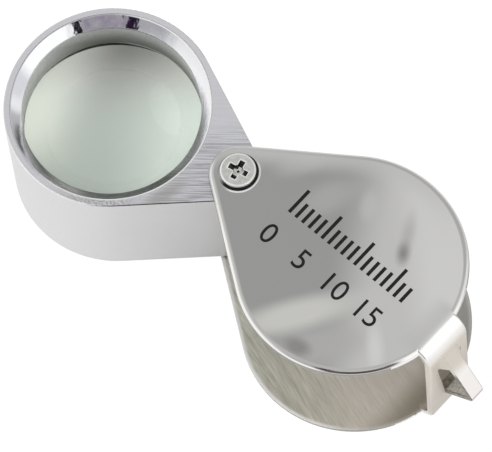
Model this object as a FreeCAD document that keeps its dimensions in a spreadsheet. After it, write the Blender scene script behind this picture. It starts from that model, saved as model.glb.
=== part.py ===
import FreeCAD, Part
import Sketcher
import math
import os

# Folding pocket loupe. The origin is on the axis of the cover's round end, on the
# cover's flat underside. +X points to the spine, +Z through the upper cheek.
# The lens holder is swung out of the cover, past the pivot screw.

# Driving dimensions in millimetres, angles in degrees, shares without a unit
DRIVING = [
    # folded sheet cover
    ("centre_distance", 17.4),        # pivot axis to lens axis
    ("cover_lip", 1.05),              # cover's round end beyond the holder's
    ("cover_pivot_radius", 3.5),
    ("cover_height", 19.5),
    ("sheet_thickness", 0.9),
    ("rim_round_share", 0.76),        # rounded outer rim, share of the sheet
    ("rim_break_share", 0.10),        # softened inner rim, share of the sheet
    ("spine_width", 6.4),
    ("spine_reach", 1.3),             # spine's outer face beyond the round end
    ("spine_bend_radius", 2.6),
    ("spine_edge_share", 0.3),        # rounded long edges of the spine
    # window in the spine and the strip pressed out of it
    ("window_top_drop", 5.0),         # below the upper cheek's outer face
    ("window_foot", 6.5),
    ("window_top_gap", 1.05),         # window beyond the strip, each side
    ("window_foot_gap", 0.05),
    ("loop_width", 2.0),
    ("loop_thickness_share", 0.945),  # the strip is drawn a little thinner than the sheet
    ("loop_reach", 4.25),             # tip beyond the spine's outer face
    ("loop_tip_height", 9.9),
    ("loop_bend_radius", 0.1),        # inside the bent tip
    ("loop_top_drop", 2.1),           # where the upper leg's outer face enters the sheet
    ("loop_foot", 4.7),
    ("loop_edge_share", 0.22),        # rounded edges of the strip
    # lens holder
    ("open_angle", 190.7),
    ("holder_wall", 0.75),            # round the ring's seat
    ("holder_pivot_radius", 3.05),
    ("holder_edge_round", 0.12),
    # lens pack, one side mirrors the other
    ("clear_radius", 10.5),
    ("spacer_wall", 0.5),
    ("cell_wall", 0.4),
    ("ring_shoulder", 0.4),           # ring beyond the lens cell
    ("ring_height", 1.5),
    ("ring_lip_height", 0.42),
    ("ring_land", 0.12),
    ("seat_gap", 0.02),
    ("glass_rim_height", 6.0),        # between the rims that the spacers press on
    ("outer_curve_radius", 22.0),
    ("cement_curve_radius", 16.0),
    ("outer_glass_thickness", 0.667), # at the axis
    # pivot
    ("post_radius", 1.9),
    ("post_spigot_radius", 1.5),
    ("running_gap", 0.05),
    ("thread_radius", 1.0),
    ("screw_reach", 6.0),             # thread below the upper cheek's inner face
    ("bore_end_gap", 1.5),            # threaded bore below the screw's tip
    ("screw_tip_chamfer", 0.25),
    ("cheek_hole_gap", 0.1),
    ("head_radius", 2.1),
    ("head_height", 0.95),
    ("head_round", 0.14),
    ("head_seat_gap", 0.3),
    ("head_seat_depth", 0.3),
    ("recess_turn", 12.0),
    ("recess_length", 2.5),
    ("recess_width", 0.66),
    ("recess_depth", 0.62),
    ("recess_foot_length", 1.15),
    ("recess_foot_width", 0.42),
    ("recess_hub_radius", 0.62),
    ("recess_hub_foot_radius", 0.3),
    # washers
    ("washer_radius", 2.95),
    ("washer_hole_gap", 0.1),
    ("flat_washer_thickness", 0.28),
    ("bow_washer_thickness", 0.12),
    # how far a cutting shape runs past what it cuts
    ("overrun", 1.0),
]

doc = FreeCAD.newDocument("loupe")
sheet = doc.addObject("Spreadsheet::Sheet", "sizes")
for row, (alias, number) in enumerate(DRIVING, start=1):
    sheet.set(f"A{row}", alias)
    sheet.set(f"B{row}", str(number))
    sheet.setAlias(f"B{row}", alias)
doc.recompute()


def size(alias):
    """The expression that reads one driving dimension."""
    return f"sizes.{alias}"


def amount(expression):
    """The number that an expression stands for."""
    return float(sheet.evalExpression(str(expression)))


# Derived sizes, as expressions of the driving ones
D = size("centre_distance")
HEIGHT = size("cover_height")
SHEET = size("sheet_thickness")
OVERRUN = size("overrun")
GLASS_RADIUS = "(sizes.clear_radius + sizes.spacer_wall)"
CELL_RADIUS = f"({GLASS_RADIUS} + sizes.cell_wall)"
RING_RADIUS = f"({CELL_RADIUS} + sizes.ring_shoulder)"
RING_SEAT = f"({RING_RADIUS} + sizes.seat_gap)"
HOLDER_ROUND = f"({RING_RADIUS} + sizes.holder_wall)"
COVER_ROUND = f"({HOLDER_ROUND} + sizes.cover_lip)"
SPINE_FACE = f"({COVER_ROUND} + sizes.spine_reach)"
UPPER_INNER = f"({HEIGHT} - {SHEET})"
MIDDLE = f"({HEIGHT} / 2)"
SIDE_GAP = "(sizes.flat_washer_thickness + sizes.seat_gap)"
BOW_RISE = f"({SIDE_GAP} - sizes.bow_washer_thickness - 2 * sizes.seat_gap)"
HOLDER_BOTTOM = f"({SHEET} + {SIDE_GAP})"
HOLDER_TOP = f"({HEIGHT} - {SHEET} - {SIDE_GAP})"
HOLDER_THICKNESS = f"({HOLDER_TOP} - {HOLDER_BOTTOM})"
LENS_X = f"({D} * (cos(sizes.open_angle * 1 deg) - 1))"
LENS_Y = f"({D} * sin(sizes.open_angle * 1 deg))"
POST_BORE = "(sizes.post_radius + sizes.running_gap)"
WASHER_HOLE = "(sizes.post_radius + sizes.washer_hole_gap)"
THREAD_BORE_DEPTH = "(sizes.screw_reach + sizes.bore_end_gap)"
RIM_DROP = "(sizes.outer_curve_radius - sqrt(sizes.outer_curve_radius^2 - sizes.clear_radius^2))"
OUTER_RISE = f"(sizes.glass_rim_height / 2 + {RIM_DROP})"
CEMENT_RISE = f"({OUTER_RISE} - sizes.outer_glass_thickness)"
LOOP_THICKNESS = f"(sizes.loop_thickness_share * {SHEET})"
LOOP_TIP_RADIUS = f"(sizes.loop_bend_radius + {LOOP_THICKNESS})"
LOOP_TOP = f"({HEIGHT} - sizes.loop_top_drop)"
WINDOW_TOP = f"({HEIGHT} - sizes.window_top_drop)"
WINDOW_TOP_WIDTH = "(sizes.loop_width + 2 * sizes.window_top_gap)"
WINDOW_FOOT_WIDTH = "(sizes.loop_width + 2 * sizes.window_foot_gap)"

# Bounds closer than this are taken as equal, in millimetres
NEAR = 1e-4


def bind(thing, **expressions):
    """Bind properties to expressions. A double underscore stands for a dot."""
    for name, expression in expressions.items():
        thing.setExpression(name.replace("__", "."), str(expression))
    return thing


def place(thing, x="0", y="0", z="0"):
    """Put a thing at a place given by expressions."""
    return bind(thing, Placement__Base__x=x, Placement__Base__y=y, Placement__Base__z=z)


def make(kind, label):
    """Add an object whose name and label are the same word."""
    thing = doc.addObject(kind, label)
    thing.Label = label
    return thing


def box(label, length, width, height, x="0", y="0", z="0"):
    return place(bind(make("Part::Box", label), Length=length, Width=width, Height=height), x, y, z)


def cylinder(label, radius, height, x="0", y="0", z="0"):
    return place(bind(make("Part::Cylinder", label), Radius=radius, Height=height), x, y, z)


def cone(label, foot_radius, top_radius, height, x="0", y="0", z="0"):
    thing = bind(make("Part::Cone", label), Radius1=foot_radius, Radius2=top_radius, Height=height)
    return place(thing, x, y, z)


def sphere(label, radius, x="0", y="0", z="0"):
    return place(bind(make("Part::Sphere", label), Radius=radius), x, y, z)


def cut(label, base, tool):
    thing = make("Part::Cut", label)
    thing.Base = base
    thing.Tool = tool
    return thing


def fuse(label, pieces):
    thing = make("Part::MultiFuse", label)
    thing.Shapes = pieces
    thing.Refine = True
    return thing


def common(label, pieces):
    thing = make("Part::MultiCommon", label)
    thing.Shapes = pieces
    return thing


def tube(label, outer, inner, height, x="0", y="0", z="0"):
    """A plain sleeve or flat washer."""
    body = cylinder(f"{label}_outside", outer, height, x, y, z)
    hole = cylinder(f"{label}_hole", inner, f"{height} + 2 * {OVERRUN}", x, y, f"{z} - {OVERRUN}")
    return cut(label, body, hole)


def edges_where(shape, test):
    """Numbers of the edges whose box passes the test, counted from 1."""
    return [i for i, edge in enumerate(shape.Edges, start=1) if test(edge.BoundBox)]


def level(low, high, value):
    """True where a low and a high bound both lie at one value."""
    return abs(low - value) < NEAR and abs(high - value) < NEAR


def round_edges(label, base, numbers, radius):
    """A Part fillet of one radius on numbered edges, which follows its named size."""
    thing = make("Part::Fillet", label)
    thing.Base = base
    thing.Edges = [(number, amount(radius), amount(radius)) for number in numbers]
    return thing


# Sketched bodies

def new_sketch(body, label, role):
    """A sketch on one of the body's own origin planes."""
    sketch = body.newObject("Sketcher::SketchObject", label)
    plane = next(item for item in body.Origin.OriginFeatures if item.Role == role)
    sketch.AttachmentSupport = [(plane, "")]
    sketch.MapMode = "FlatFace"
    return sketch


def dimension(sketch, name, expression, kind, *references):
    """A named sketch dimension that follows an expression."""
    index = sketch.addConstraint(Sketcher.Constraint(kind, *references, amount(expression)))
    sketch.renameConstraint(index, name)
    sketch.setExpression(f"Constraints.{name}", expression)


def relate(sketch, kind, *references):
    sketch.addConstraint(Sketcher.Constraint(kind, *references))


def arc(centre_x, centre_y, radius, start, end):
    circle = Part.Circle(FreeCAD.Vector(centre_x, centre_y, 0), FreeCAD.Vector(0, 0, 1), radius)
    return Part.ArcOfCircle(circle, start, end)


def line(start, end):
    return Part.LineSegment(FreeCAD.Vector(*start, 0), FreeCAD.Vector(*end, 0))


def on_circle(centre_x, radius, angle):
    return (centre_x + radius * math.cos(angle), radius * math.sin(angle))


def drop_sketch(body, label, round_radius, pivot_radius):
    """Drop-shaped outline: the pivot at the origin, the round end along +X."""
    sketch = new_sketch(body, label, "XY_Plane")
    span, big, small = amount(D), amount(round_radius), amount(pivot_radius)
    turn = math.acos((small - big) / span)
    sketch.addGeometry(arc(span, 0, big, -turn, turn))
    sketch.addGeometry(line(on_circle(span, big, turn), on_circle(0, small, turn)))
    sketch.addGeometry(arc(0, 0, small, turn, 2 * math.pi - turn))
    sketch.addGeometry(line(on_circle(0, small, -turn), on_circle(span, big, -turn)))
    for first, second in ((0, 1), (1, 2), (2, 3), (3, 0)):
        relate(sketch, "Tangent", first, 2, second, 1)
    relate(sketch, "Coincident", 2, 3, -1, 1)
    relate(sketch, "PointOnObject", 0, 3, -1)
    dimension(sketch, "span", D, "DistanceX", -1, 1, 0, 3)
    dimension(sketch, "round_end", round_radius, "Radius", 0)
    dimension(sketch, "pivot_end", pivot_radius, "Radius", 2)
    return sketch


def pad(body, label, sketch, length, midplane=False):
    feature = body.newObject("PartDesign::Pad", label)
    feature.Profile = sketch
    feature.Midplane = midplane
    bind(feature, Length=length)
    doc.recompute()
    return feature


def soften(body, label, test, radius):
    """Round the edges of the body's last feature whose boxes pass the test."""
    base = body.Tip
    numbers = edges_where(base.Shape, test)
    feature = body.newObject("PartDesign::Fillet", label)
    feature.Base = (base, [f"Edge{number}" for number in numbers])
    bind(feature, Radius=radius)
    doc.recompute()
    return feature


def at_height(height):
    """A test for edges that lie flat at one height."""
    value = amount(height)
    return lambda bounds: level(bounds.ZMin, bounds.ZMax, value)


def pocket(body, label, places, radius, depth=None, from_height=None):
    """Round pockets. With no depth they run through from the underside."""
    sketch = new_sketch(body, f"{label}_sketch", "XY_Plane")
    for index, along in enumerate(places):
        centre = FreeCAD.Vector(amount(along), 0, 0)
        sketch.addGeometry(Part.Circle(centre, FreeCAD.Vector(0, 0, 1), amount(radius)))
        if along == "0":
            relate(sketch, "Coincident", index, 3, -1, 1)
        else:
            relate(sketch, "PointOnObject", index, 3, -1)
            dimension(sketch, f"along_{index}", along, "DistanceX", -1, 1, index, 3)
        dimension(sketch, f"radius_{index}", radius, "Radius", index)
    if from_height is not None:
        bind(sketch, AttachmentOffset__Base__z=from_height)
    before = body.Tip.Shape.Volume
    feature = body.newObject("PartDesign::Pocket", label)
    feature.Profile = sketch
    if depth is None:
        feature.Type = "ThroughAll"
        feature.Midplane = True
    else:
        bind(feature, Length=depth)
        feature.Reversed = from_height is None
    doc.recompute()
    if not feature.Shape.Volume < before:
        raise RuntimeError(f"{label} cuts nothing")
    return feature


# Cover: cheeks, spine and loop

def cheek(label, outer_height):
    """One flat cheek, its rim rounded more on the outer side."""
    body = make("PartDesign::Body", label)
    outline = drop_sketch(body, f"{label}_outline", COVER_ROUND, size("cover_pivot_radius"))
    pad(body, f"{label}_plate", outline, SHEET)
    inner_height = SHEET if outer_height == "0" else "0"
    soften(body, f"{label}_rim", at_height(outer_height), f"sizes.rim_round_share * {SHEET}")
    soften(body, f"{label}_inner_rim", at_height(inner_height), f"sizes.rim_break_share * {SHEET}")
    return body


def fold_room(label):
    """Where the fold takes over from a flat cheek, between the band's rounded edges."""
    half = f"(sizes.spine_width / 2 - sizes.spine_edge_share * {SHEET})"
    return box(label, "sizes.spine_bend_radius + sizes.overrun", f"2 * {half}",
               f"{HEIGHT} + 2 * {OVERRUN}", x=f"{SPINE_FACE} - sizes.spine_bend_radius",
               y=f"-{half}", z=f"-{OVERRUN}")


def upper_cheek():
    body = cheek("upper_cheek", SHEET)
    pocket(body, "screw_hole", ["0"], "sizes.thread_radius + sizes.cheek_hole_gap")
    pocket(body, "head_seat", ["0"], "sizes.head_radius + sizes.head_seat_gap",
           depth=size("head_seat_depth"), from_height=SHEET)
    return cut("upper_side", place(body, x=f"-{D}", z=UPPER_INNER), fold_room("upper_fold_room"))


def lower_cheek():
    body = cheek("lower_cheek", "0")
    pocket(body, "post_hole", ["0"], size("post_spigot_radius"))
    return cut("lower_side", place(body, x=f"-{D}"), fold_room("lower_fold_room"))


def bend(label, shrink):
    """A block with both far corners rounded: the fold's outside, or its hollow when shrunk."""
    block = box(f"{label}_block", f"{SPINE_FACE} - {shrink}",
                f"sizes.spine_width + 2 * {shrink}", f"{HEIGHT} - 2 * {shrink}",
                y=f"-sizes.spine_width / 2 - {shrink}", z=shrink)
    doc.recompute()
    face = amount(f"{SPINE_FACE} - {shrink}")
    numbers = edges_where(block.Shape, lambda b: level(b.XMin, b.XMax, face) and
                          abs(b.ZMax - b.ZMin) < b.YLength)
    return round_edges(label, block, numbers, f"sizes.spine_bend_radius - {shrink}")


def spine():
    """The folded band, its long outer edges rounded."""
    outside = bend("fold_outside", "0")
    hollow = bend("fold_hollow", SHEET)
    band = cut("band", outside, hollow)
    doc.recompute()
    side = amount("sizes.spine_width / 2")
    skin = amount(f"{SPINE_FACE} - {SHEET}")
    top, bottom = amount(UPPER_INNER), amount(SHEET)

    def outer_side_edge(bounds):
        on_side = level(bounds.YMin, bounds.YMax, side) or level(bounds.YMin, bounds.YMax, -side)
        outward = bounds.XMax > skin + NEAR or bounds.ZMax > top + NEAR or bounds.ZMin < bottom - NEAR
        not_end = bounds.XLength > NEAR or bounds.XMax > skin
        return on_side and outward and not_end

    numbers = edges_where(band.Shape, outer_side_edge)
    return round_edges("spine", band, numbers, f"sizes.spine_edge_share * {SHEET}")


def window():
    """Opening in the spine, wider at its top than at its foot."""
    thing = make("Part::Wedge", "window")
    half_foot, half_top = f"{WINDOW_FOOT_WIDTH} / 2", f"{WINDOW_TOP_WIDTH} / 2"
    near, far = f"{SPINE_FACE} - {SHEET} - {OVERRUN}", f"{SPINE_FACE} + {OVERRUN}"
    bind(thing, Xmin=f"-{half_foot}", Xmax=half_foot, X2min=f"-{half_top}", X2max=half_top,
         Ymin=size("window_foot"), Ymax=WINDOW_TOP,
         Zmin=near, Zmax=far, Z2min=near, Z2max=far)
    # Turns the wedge's own x, y and z into the part's y, z and x
    thing.Placement.Rotation = FreeCAD.Rotation(FreeCAD.Vector(1, 1, 1), 120)
    return thing


def loop_strip():
    """The strip pressed out of the spine: two straight legs round a bent tip."""
    body = make("PartDesign::Body", "loop_strip")
    sketch = new_sketch(body, "loop_profile", "XZ_Plane")
    root = f"{SPINE_FACE} - {SHEET} / 2"
    tip_x = f"{SPINE_FACE} + sizes.loop_reach - {LOOP_TIP_RADIUS}"
    centre = (amount(tip_x), amount(size("loop_tip_height")))
    upper = (amount(root), amount(LOOP_TOP))
    lower = (amount(root), amount(size("loop_foot")))

    def touch(point, radius, side):
        """Where a line from the point touches the tip's circle, as an angle there."""
        reach = math.hypot(point[0] - centre[0], point[1] - centre[1])
        toward = math.atan2(point[1] - centre[1], point[0] - centre[0])
        return toward + side * math.acos(radius / reach)

    outer, inner = amount(LOOP_TIP_RADIUS), amount(size("loop_bend_radius"))
    start, end = touch(lower, outer, 1), touch(upper, outer, -1)
    if start > end:
        start -= 2 * math.pi

    def rim(radius, angle):
        return (centre[0] + radius * math.cos(angle), centre[1] + radius * math.sin(angle))

    def leg_end(angle):
        """Where the inner line of a leg meets the root's upright line."""
        begin = rim(inner, angle)
        slope = -math.cos(angle) / math.sin(angle)
        return (amount(root), begin[1] + slope * (amount(root) - begin[0]))

    sketch.addGeometry(arc(*centre, outer, start, end))
    sketch.addGeometry(line(rim(outer, end), upper))
    sketch.addGeometry(line(upper, leg_end(end)))
    sketch.addGeometry(line(leg_end(end), rim(inner, end)))
    sketch.addGeometry(arc(*centre, inner, start, end))
    sketch.addGeometry(line(rim(inner, start), leg_end(start)))
    sketch.addGeometry(line(leg_end(start), lower))
    sketch.addGeometry(line(lower, rim(outer, start)))
    relate(sketch, "Tangent", 0, 2, 1, 1)
    relate(sketch, "Tangent", 7, 2, 0, 1)
    relate(sketch, "Tangent", 3, 2, 4, 2)
    relate(sketch, "Tangent", 4, 1, 5, 1)
    for first, second in ((1, 2), (2, 3), (5, 6), (6, 7)):
        relate(sketch, "Coincident", first, 2, second, 1)
    relate(sketch, "Coincident", 0, 3, 4, 3)
    relate(sketch, "Vertical", 2)
    relate(sketch, "Vertical", 6)
    relate(sketch, "Parallel", 1, 3)
    relate(sketch, "Parallel", 5, 7)
    dimension(sketch, "tip_radius", LOOP_TIP_RADIUS, "Radius", 0)
    dimension(sketch, "inner_radius", size("loop_bend_radius"), "Radius", 4)
    dimension(sketch, "tip_x", tip_x, "DistanceX", -1, 1, 0, 3)
    dimension(sketch, "tip_height", size("loop_tip_height"), "DistanceY", -1, 1, 0, 3)
    dimension(sketch, "upper_root", root, "DistanceX", -1, 1, 1, 2)
    dimension(sketch, "lower_root", root, "DistanceX", -1, 1, 6, 2)
    dimension(sketch, "upper_height", LOOP_TOP, "DistanceY", -1, 1, 1, 2)
    dimension(sketch, "lower_height", size("loop_foot"), "DistanceY", -1, 1, 6, 2)
    pad(body, "loop_band", sketch, size("loop_width"), midplane=True)
    side, inside = amount("sizes.loop_width / 2"), amount(root)

    def long_edge(bounds):
        on_side = level(bounds.YMin, bounds.YMax, side) or level(bounds.YMin, bounds.YMax, -side)
        return on_side and not level(bounds.XMin, bounds.XMax, inside)

    soften(body, "loop_band_edges", long_edge, f"sizes.loop_edge_share * {LOOP_THICKNESS}")
    return body


def trapezoid_sketch(body, label, height, near, far, near_width, far_width):
    """A flat outline across the spine, symmetric about it, at one height."""
    sketch = new_sketch(body, label, "XY_Plane")
    bind(sketch, AttachmentOffset__Base__z=height)
    x_near, x_far = amount(near), amount(far)
    half_near, half_far = amount(near_width) / 2, amount(far_width) / 2
    corners = [(x_near, -half_near), (x_far, -half_far), (x_far, half_far), (x_near, half_near)]
    for start, end in zip(corners, corners[1:] + corners[:1]):
        sketch.addGeometry(line(start, end))
    for first in range(4):
        relate(sketch, "Coincident", first, 2, (first + 1) % 4, 1)
    relate(sketch, "Symmetric", 1, 1, 1, 2, -1)
    relate(sketch, "Symmetric", 3, 1, 3, 2, -1)
    dimension(sketch, "near", near, "DistanceX", -1, 1, 0, 1)
    dimension(sketch, "far", far, "DistanceX", -1, 1, 1, 1)
    dimension(sketch, "near_width", near_width, "DistanceY", 3, 2, 3, 1)
    dimension(sketch, "far_width", far_width, "DistanceY", 1, 1, 1, 2)
    return sketch


def loop_nose():
    """The sheet drawn out with the strip, above the window's top corners."""
    body = make("PartDesign::Body", "loop_nose")
    near = f"{SPINE_FACE} - {SHEET} / 2"
    rise = f"sizes.loop_reach * ({LOOP_TOP} - {WINDOW_TOP}) / ({LOOP_TOP} - sizes.loop_tip_height)"
    widths = (WINDOW_TOP_WIDTH, size("loop_width"))
    foot = trapezoid_sketch(body, "nose_foot", WINDOW_TOP, near, f"{near} + {rise}", *widths)
    top = trapezoid_sketch(body, "nose_top", LOOP_TOP, near, f"{near} + sizes.seat_gap", *widths)
    nose = body.newObject("PartDesign::AdditiveLoft", "nose_loft")
    nose.Profile = foot
    nose.Sections = [top]
    nose.Ruled = True
    doc.recompute()
    return body


def cover():
    strip = cut("open_spine", spine(), window())
    return fuse("cover", [strip, upper_cheek(), lower_cheek(), loop_strip(), loop_nose()])


# Pivot

def pivot_post():
    """Hollow post: a spigot through the lower cheek, a shoulder up to the upper one."""
    spigot = cylinder("post_spigot", size("post_spigot_radius"), f"{SHEET} + {OVERRUN}", x=f"-{D}")
    barrel = cylinder("post_barrel", size("post_radius"), f"{UPPER_INNER} - {SHEET}",
                      x=f"-{D}", z=SHEET)
    bore = cylinder("post_bore", "sizes.thread_radius + sizes.seat_gap",
                    f"{THREAD_BORE_DEPTH} + {OVERRUN}",
                    x=f"-{D}", z=f"{UPPER_INNER} - {THREAD_BORE_DEPTH}")
    return cut("pivot_post", fuse("post_solid", [spigot, barrel]), bore)


def recess_arm(label, turn):
    """One tapered slot of the cross recess."""
    thing = make("Part::Wedge", label)
    top_length, top_width = "sizes.recess_length / 2", "sizes.recess_width / 2"
    foot_length, foot_width = "sizes.recess_foot_length / 2", "sizes.recess_foot_width / 2"
    bind(thing, Xmin=f"-{foot_length}", Xmax=foot_length, Zmin=f"-{foot_width}", Zmax=foot_width,
         X2min=f"-{top_length}", X2max=top_length, Z2min=f"-{top_width}", Z2max=top_width,
         Ymin="0", Ymax=size("recess_depth"))
    upright = FreeCAD.Rotation(FreeCAD.Vector(1, 0, 0), 90)
    about = FreeCAD.Rotation(FreeCAD.Vector(0, 0, 1), amount(turn))
    thing.Placement.Rotation = about.multiply(upright)
    return place(thing, x=f"-{D}", z=f"{HEAD_TOP} - sizes.recess_depth")


HEAD_FOOT = f"({HEIGHT} - sizes.head_seat_depth)"
HEAD_TOP = f"({HEAD_FOOT} + sizes.head_height)"


def pivot_screw():
    """Flat-topped pan head with a cross recess, on a short thread."""
    head = cylinder("head_disc", size("head_radius"), size("head_height"), x=f"-{D}", z=HEAD_FOOT)
    doc.recompute()
    top = amount(HEAD_TOP)
    rim = edges_where(head.Shape, lambda b: level(b.ZMin, b.ZMax, top))
    rounded = round_edges("head_rounded", head, rim, size("head_round"))
    tip = f"{UPPER_INNER} - sizes.screw_reach"
    shank = cylinder("screw_shank", size("thread_radius"),
                     f"{HEAD_FOOT} - ({tip}) - sizes.screw_tip_chamfer",
                     x=f"-{D}", z=f"{tip} + sizes.screw_tip_chamfer")
    point = cone("screw_tip", "sizes.thread_radius - sizes.screw_tip_chamfer",
                 size("thread_radius"), size("screw_tip_chamfer"), x=f"-{D}", z=tip)
    solid = fuse("screw_solid", [rounded, shank, point])
    hub = cone("recess_hub", size("recess_hub_foot_radius"), size("recess_hub_radius"),
               size("recess_depth"), x=f"-{D}", z=f"{HEAD_TOP} - sizes.recess_depth")
    arms = [recess_arm("recess_arm_along", size("recess_turn")),
            recess_arm("recess_arm_across", f"{size('recess_turn')} + 90")]
    return cut("pivot_screw", solid, fuse("cross_recess", arms + [hub]))


def friction_washer():
    return tube("friction_washer", size("washer_radius"), WASHER_HOLE,
                size("flat_washer_thickness"), x=f"-{D}", z=SHEET)


def spring_washer():
    """A flat ring bowed about one axis, its crown under the upper cheek."""
    crown = f"({UPPER_INNER} - sizes.seat_gap)"
    curve = f"((sizes.washer_radius^2 + {BOW_RISE}^2) / (2 * {BOW_RISE}))"
    depth = f"(sizes.bow_washer_thickness + {BOW_RISE})"
    blank = tube("washer_blank", size("washer_radius"), WASHER_HOLE, depth,
                 x=f"-{D}", z=f"{crown} - {depth}")
    centre = f"{crown} - {curve} - sizes.bow_washer_thickness"
    skins = []
    for label, radius in (("bow_outside", f"{curve} + sizes.bow_washer_thickness"),
                          ("bow_inside", curve)):
        skin = cylinder(label, radius, f"2 * sizes.washer_radius + 2 * {OVERRUN}",
                        x=f"-{D}", y=f"sizes.washer_radius + {OVERRUN}", z=centre)
        skin.Placement.Rotation = FreeCAD.Rotation(FreeCAD.Vector(1, 0, 0), 90)
        skins.append(skin)
    return common("spring_washer", [blank, cut("bow_shell", *skins)])


# Lens holder and the pack in its bore

def lens_holder():
    body = make("PartDesign::Body", "lens_holder")
    outline = drop_sketch(body, "holder_outline", HOLDER_ROUND, size("holder_pivot_radius"))
    pad(body, "holder_block", outline, HOLDER_THICKNESS)
    soften(body, "holder_top_edge", at_height(HOLDER_THICKNESS), size("holder_edge_round"))
    soften(body, "holder_bottom_edge", at_height("0"), size("holder_edge_round"))
    pocket(body, "pivot_bore", ["0"], POST_BORE)
    pocket(body, "lens_bore", [D], f"{CELL_RADIUS} + sizes.seat_gap")
    pocket(body, "upper_ring_seat", [D], RING_SEAT,
           depth=size("ring_height"), from_height=HOLDER_THICKNESS)
    pocket(body, "lower_ring_seat", [D], RING_SEAT, depth=size("ring_height"))
    bind(body, Placement__Rotation__Angle=size("open_angle"))
    return place(body, x=f"-{D}", z=HOLDER_BOTTOM)


def upright(side, height):
    """A height above the middle plane, on the eye side or mirrored to the object side."""
    return f"({MIDDLE} + {side} * ({height}))"


def bevel_ring(label, side):
    """Retaining ring: a wide bevel falls from a thin land to the inner lip."""
    top = f"({HOLDER_THICKNESS} / 2)"
    foot = f"({top} - sizes.ring_height)"
    low = upright(side, foot if side > 0 else top)
    disc = cylinder(f"{label}_disc", RING_RADIUS, size("ring_height"), LENS_X, LENS_Y, low)
    hole = cylinder(f"{label}_hole", size("clear_radius"),
                    f"sizes.ring_height + 2 * {OVERRUN}", LENS_X, LENS_Y, f"{low} - {OVERRUN}")
    wide, narrow = f"({RING_RADIUS} - sizes.ring_land)", size("clear_radius")
    depth = "(sizes.ring_height - sizes.ring_lip_height)"
    if side > 0:
        bevel = cone(f"{label}_bevel", narrow, wide, depth, LENS_X, LENS_Y,
                     f"{low} + sizes.ring_lip_height")
    else:
        bevel = cone(f"{label}_bevel", wide, narrow, depth, LENS_X, LENS_Y, low)
    return cut(label, disc, fuse(f"{label}_opening", [hole, bevel]))


def lens_cell():
    height = f"({HOLDER_THICKNESS} - 2 * sizes.ring_height)"
    return tube("lens_cell", CELL_RADIUS, GLASS_RADIUS, height,
                LENS_X, LENS_Y, f"{HOLDER_BOTTOM} + sizes.ring_height")


def spacer(label, side):
    """Sleeve between the bevelled ring and the rim of the glass."""
    height = f"(({HOLDER_THICKNESS} - sizes.glass_rim_height) / 2 - sizes.ring_height)"
    start = "sizes.glass_rim_height / 2"
    low = upright(side, start if side > 0 else f"{start} + {height}")
    return tube(label, f"{GLASS_RADIUS} - sizes.seat_gap", size("clear_radius"), height,
                LENS_X, LENS_Y, low)


def glass_blank(label):
    radius = f"{GLASS_RADIUS} - sizes.seat_gap"
    return cylinder(label, radius, HOLDER_THICKNESS, LENS_X, LENS_Y, HOLDER_BOTTOM)


def cement_ball(label, side):
    """The ball whose far side is one cemented face of the thick middle lens."""
    height = f"{CEMENT_RISE} - sizes.cement_curve_radius"
    return sphere(label, size("cement_curve_radius"), LENS_X, LENS_Y, upright(side, height))


def centre_element():
    return common("centre_element", [glass_blank("centre_blank"),
                                     cement_ball("centre_eye_ball", 1),
                                     cement_ball("centre_object_ball", -1)])


def outer_element(label, side):
    """Outer lens: convex outside, hollowed to fit the middle lens."""
    height = f"{OUTER_RISE} - sizes.outer_curve_radius"
    ball = sphere(f"{label}_ball", size("outer_curve_radius"), LENS_X, LENS_Y,
                  upright(side, height))
    low = MIDDLE if side > 0 else HOLDER_BOTTOM
    half = cylinder(f"{label}_blank", f"{GLASS_RADIUS} - sizes.seat_gap",
                    f"{HOLDER_THICKNESS} / 2", LENS_X, LENS_Y, low)
    solid = common(f"{label}_solid", [half, ball])
    return cut(label, solid, cement_ball(f"{label}_hollow", side))


NODES = [
    cover(),
    pivot_post(),
    pivot_screw(),
    friction_washer(),
    spring_washer(),
    lens_holder(),
    bevel_ring("eye_ring", 1),
    bevel_ring("object_ring", -1),
    lens_cell(),
    spacer("eye_spacer", 1),
    spacer("object_spacer", -1),
    centre_element(),
    outer_element("eye_element", 1),
    outer_element("object_element", -1),
]

doc.recompute()
for item in doc.Objects:
    if "Invalid" in item.State or "Error" in item.State:
        raise RuntimeError(f"{item.Label} did not build")
os.makedirs("parts", exist_ok=True)
for node in NODES:
    shape = node.Shape
    if shape.isNull() or not shape.isValid() or not shape.Solids:
        raise RuntimeError(f"{node.Label} has no valid solid")
    print(node.Label, len(shape.Solids), "solid,", round(shape.Volume, 3), "mm3")
for node in NODES:
    node.Shape.exportStep(f"parts/{node.Label}.step")
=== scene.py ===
import functools
import math

import bmesh
import bpy
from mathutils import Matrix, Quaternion, Vector


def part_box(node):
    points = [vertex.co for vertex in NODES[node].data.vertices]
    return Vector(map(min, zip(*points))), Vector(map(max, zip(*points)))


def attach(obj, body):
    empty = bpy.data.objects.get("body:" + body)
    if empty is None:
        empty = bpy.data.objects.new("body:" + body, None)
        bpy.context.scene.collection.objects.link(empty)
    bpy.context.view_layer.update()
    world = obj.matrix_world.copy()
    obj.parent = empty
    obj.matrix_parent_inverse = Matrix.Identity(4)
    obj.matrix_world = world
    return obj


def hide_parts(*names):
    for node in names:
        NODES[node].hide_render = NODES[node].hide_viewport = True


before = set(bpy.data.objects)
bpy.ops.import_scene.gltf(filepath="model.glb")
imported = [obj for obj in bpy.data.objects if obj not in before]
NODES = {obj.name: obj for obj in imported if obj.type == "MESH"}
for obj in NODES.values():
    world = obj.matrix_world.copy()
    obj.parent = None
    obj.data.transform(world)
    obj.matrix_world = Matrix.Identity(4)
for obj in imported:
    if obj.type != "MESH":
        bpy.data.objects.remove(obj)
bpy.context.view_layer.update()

# One millimetre in metres. The frame and every piece here are in metres.
MM = 0.001

# Smallest difference that tells two faces or radii apart
SLACK = 0.02 * MM

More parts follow.
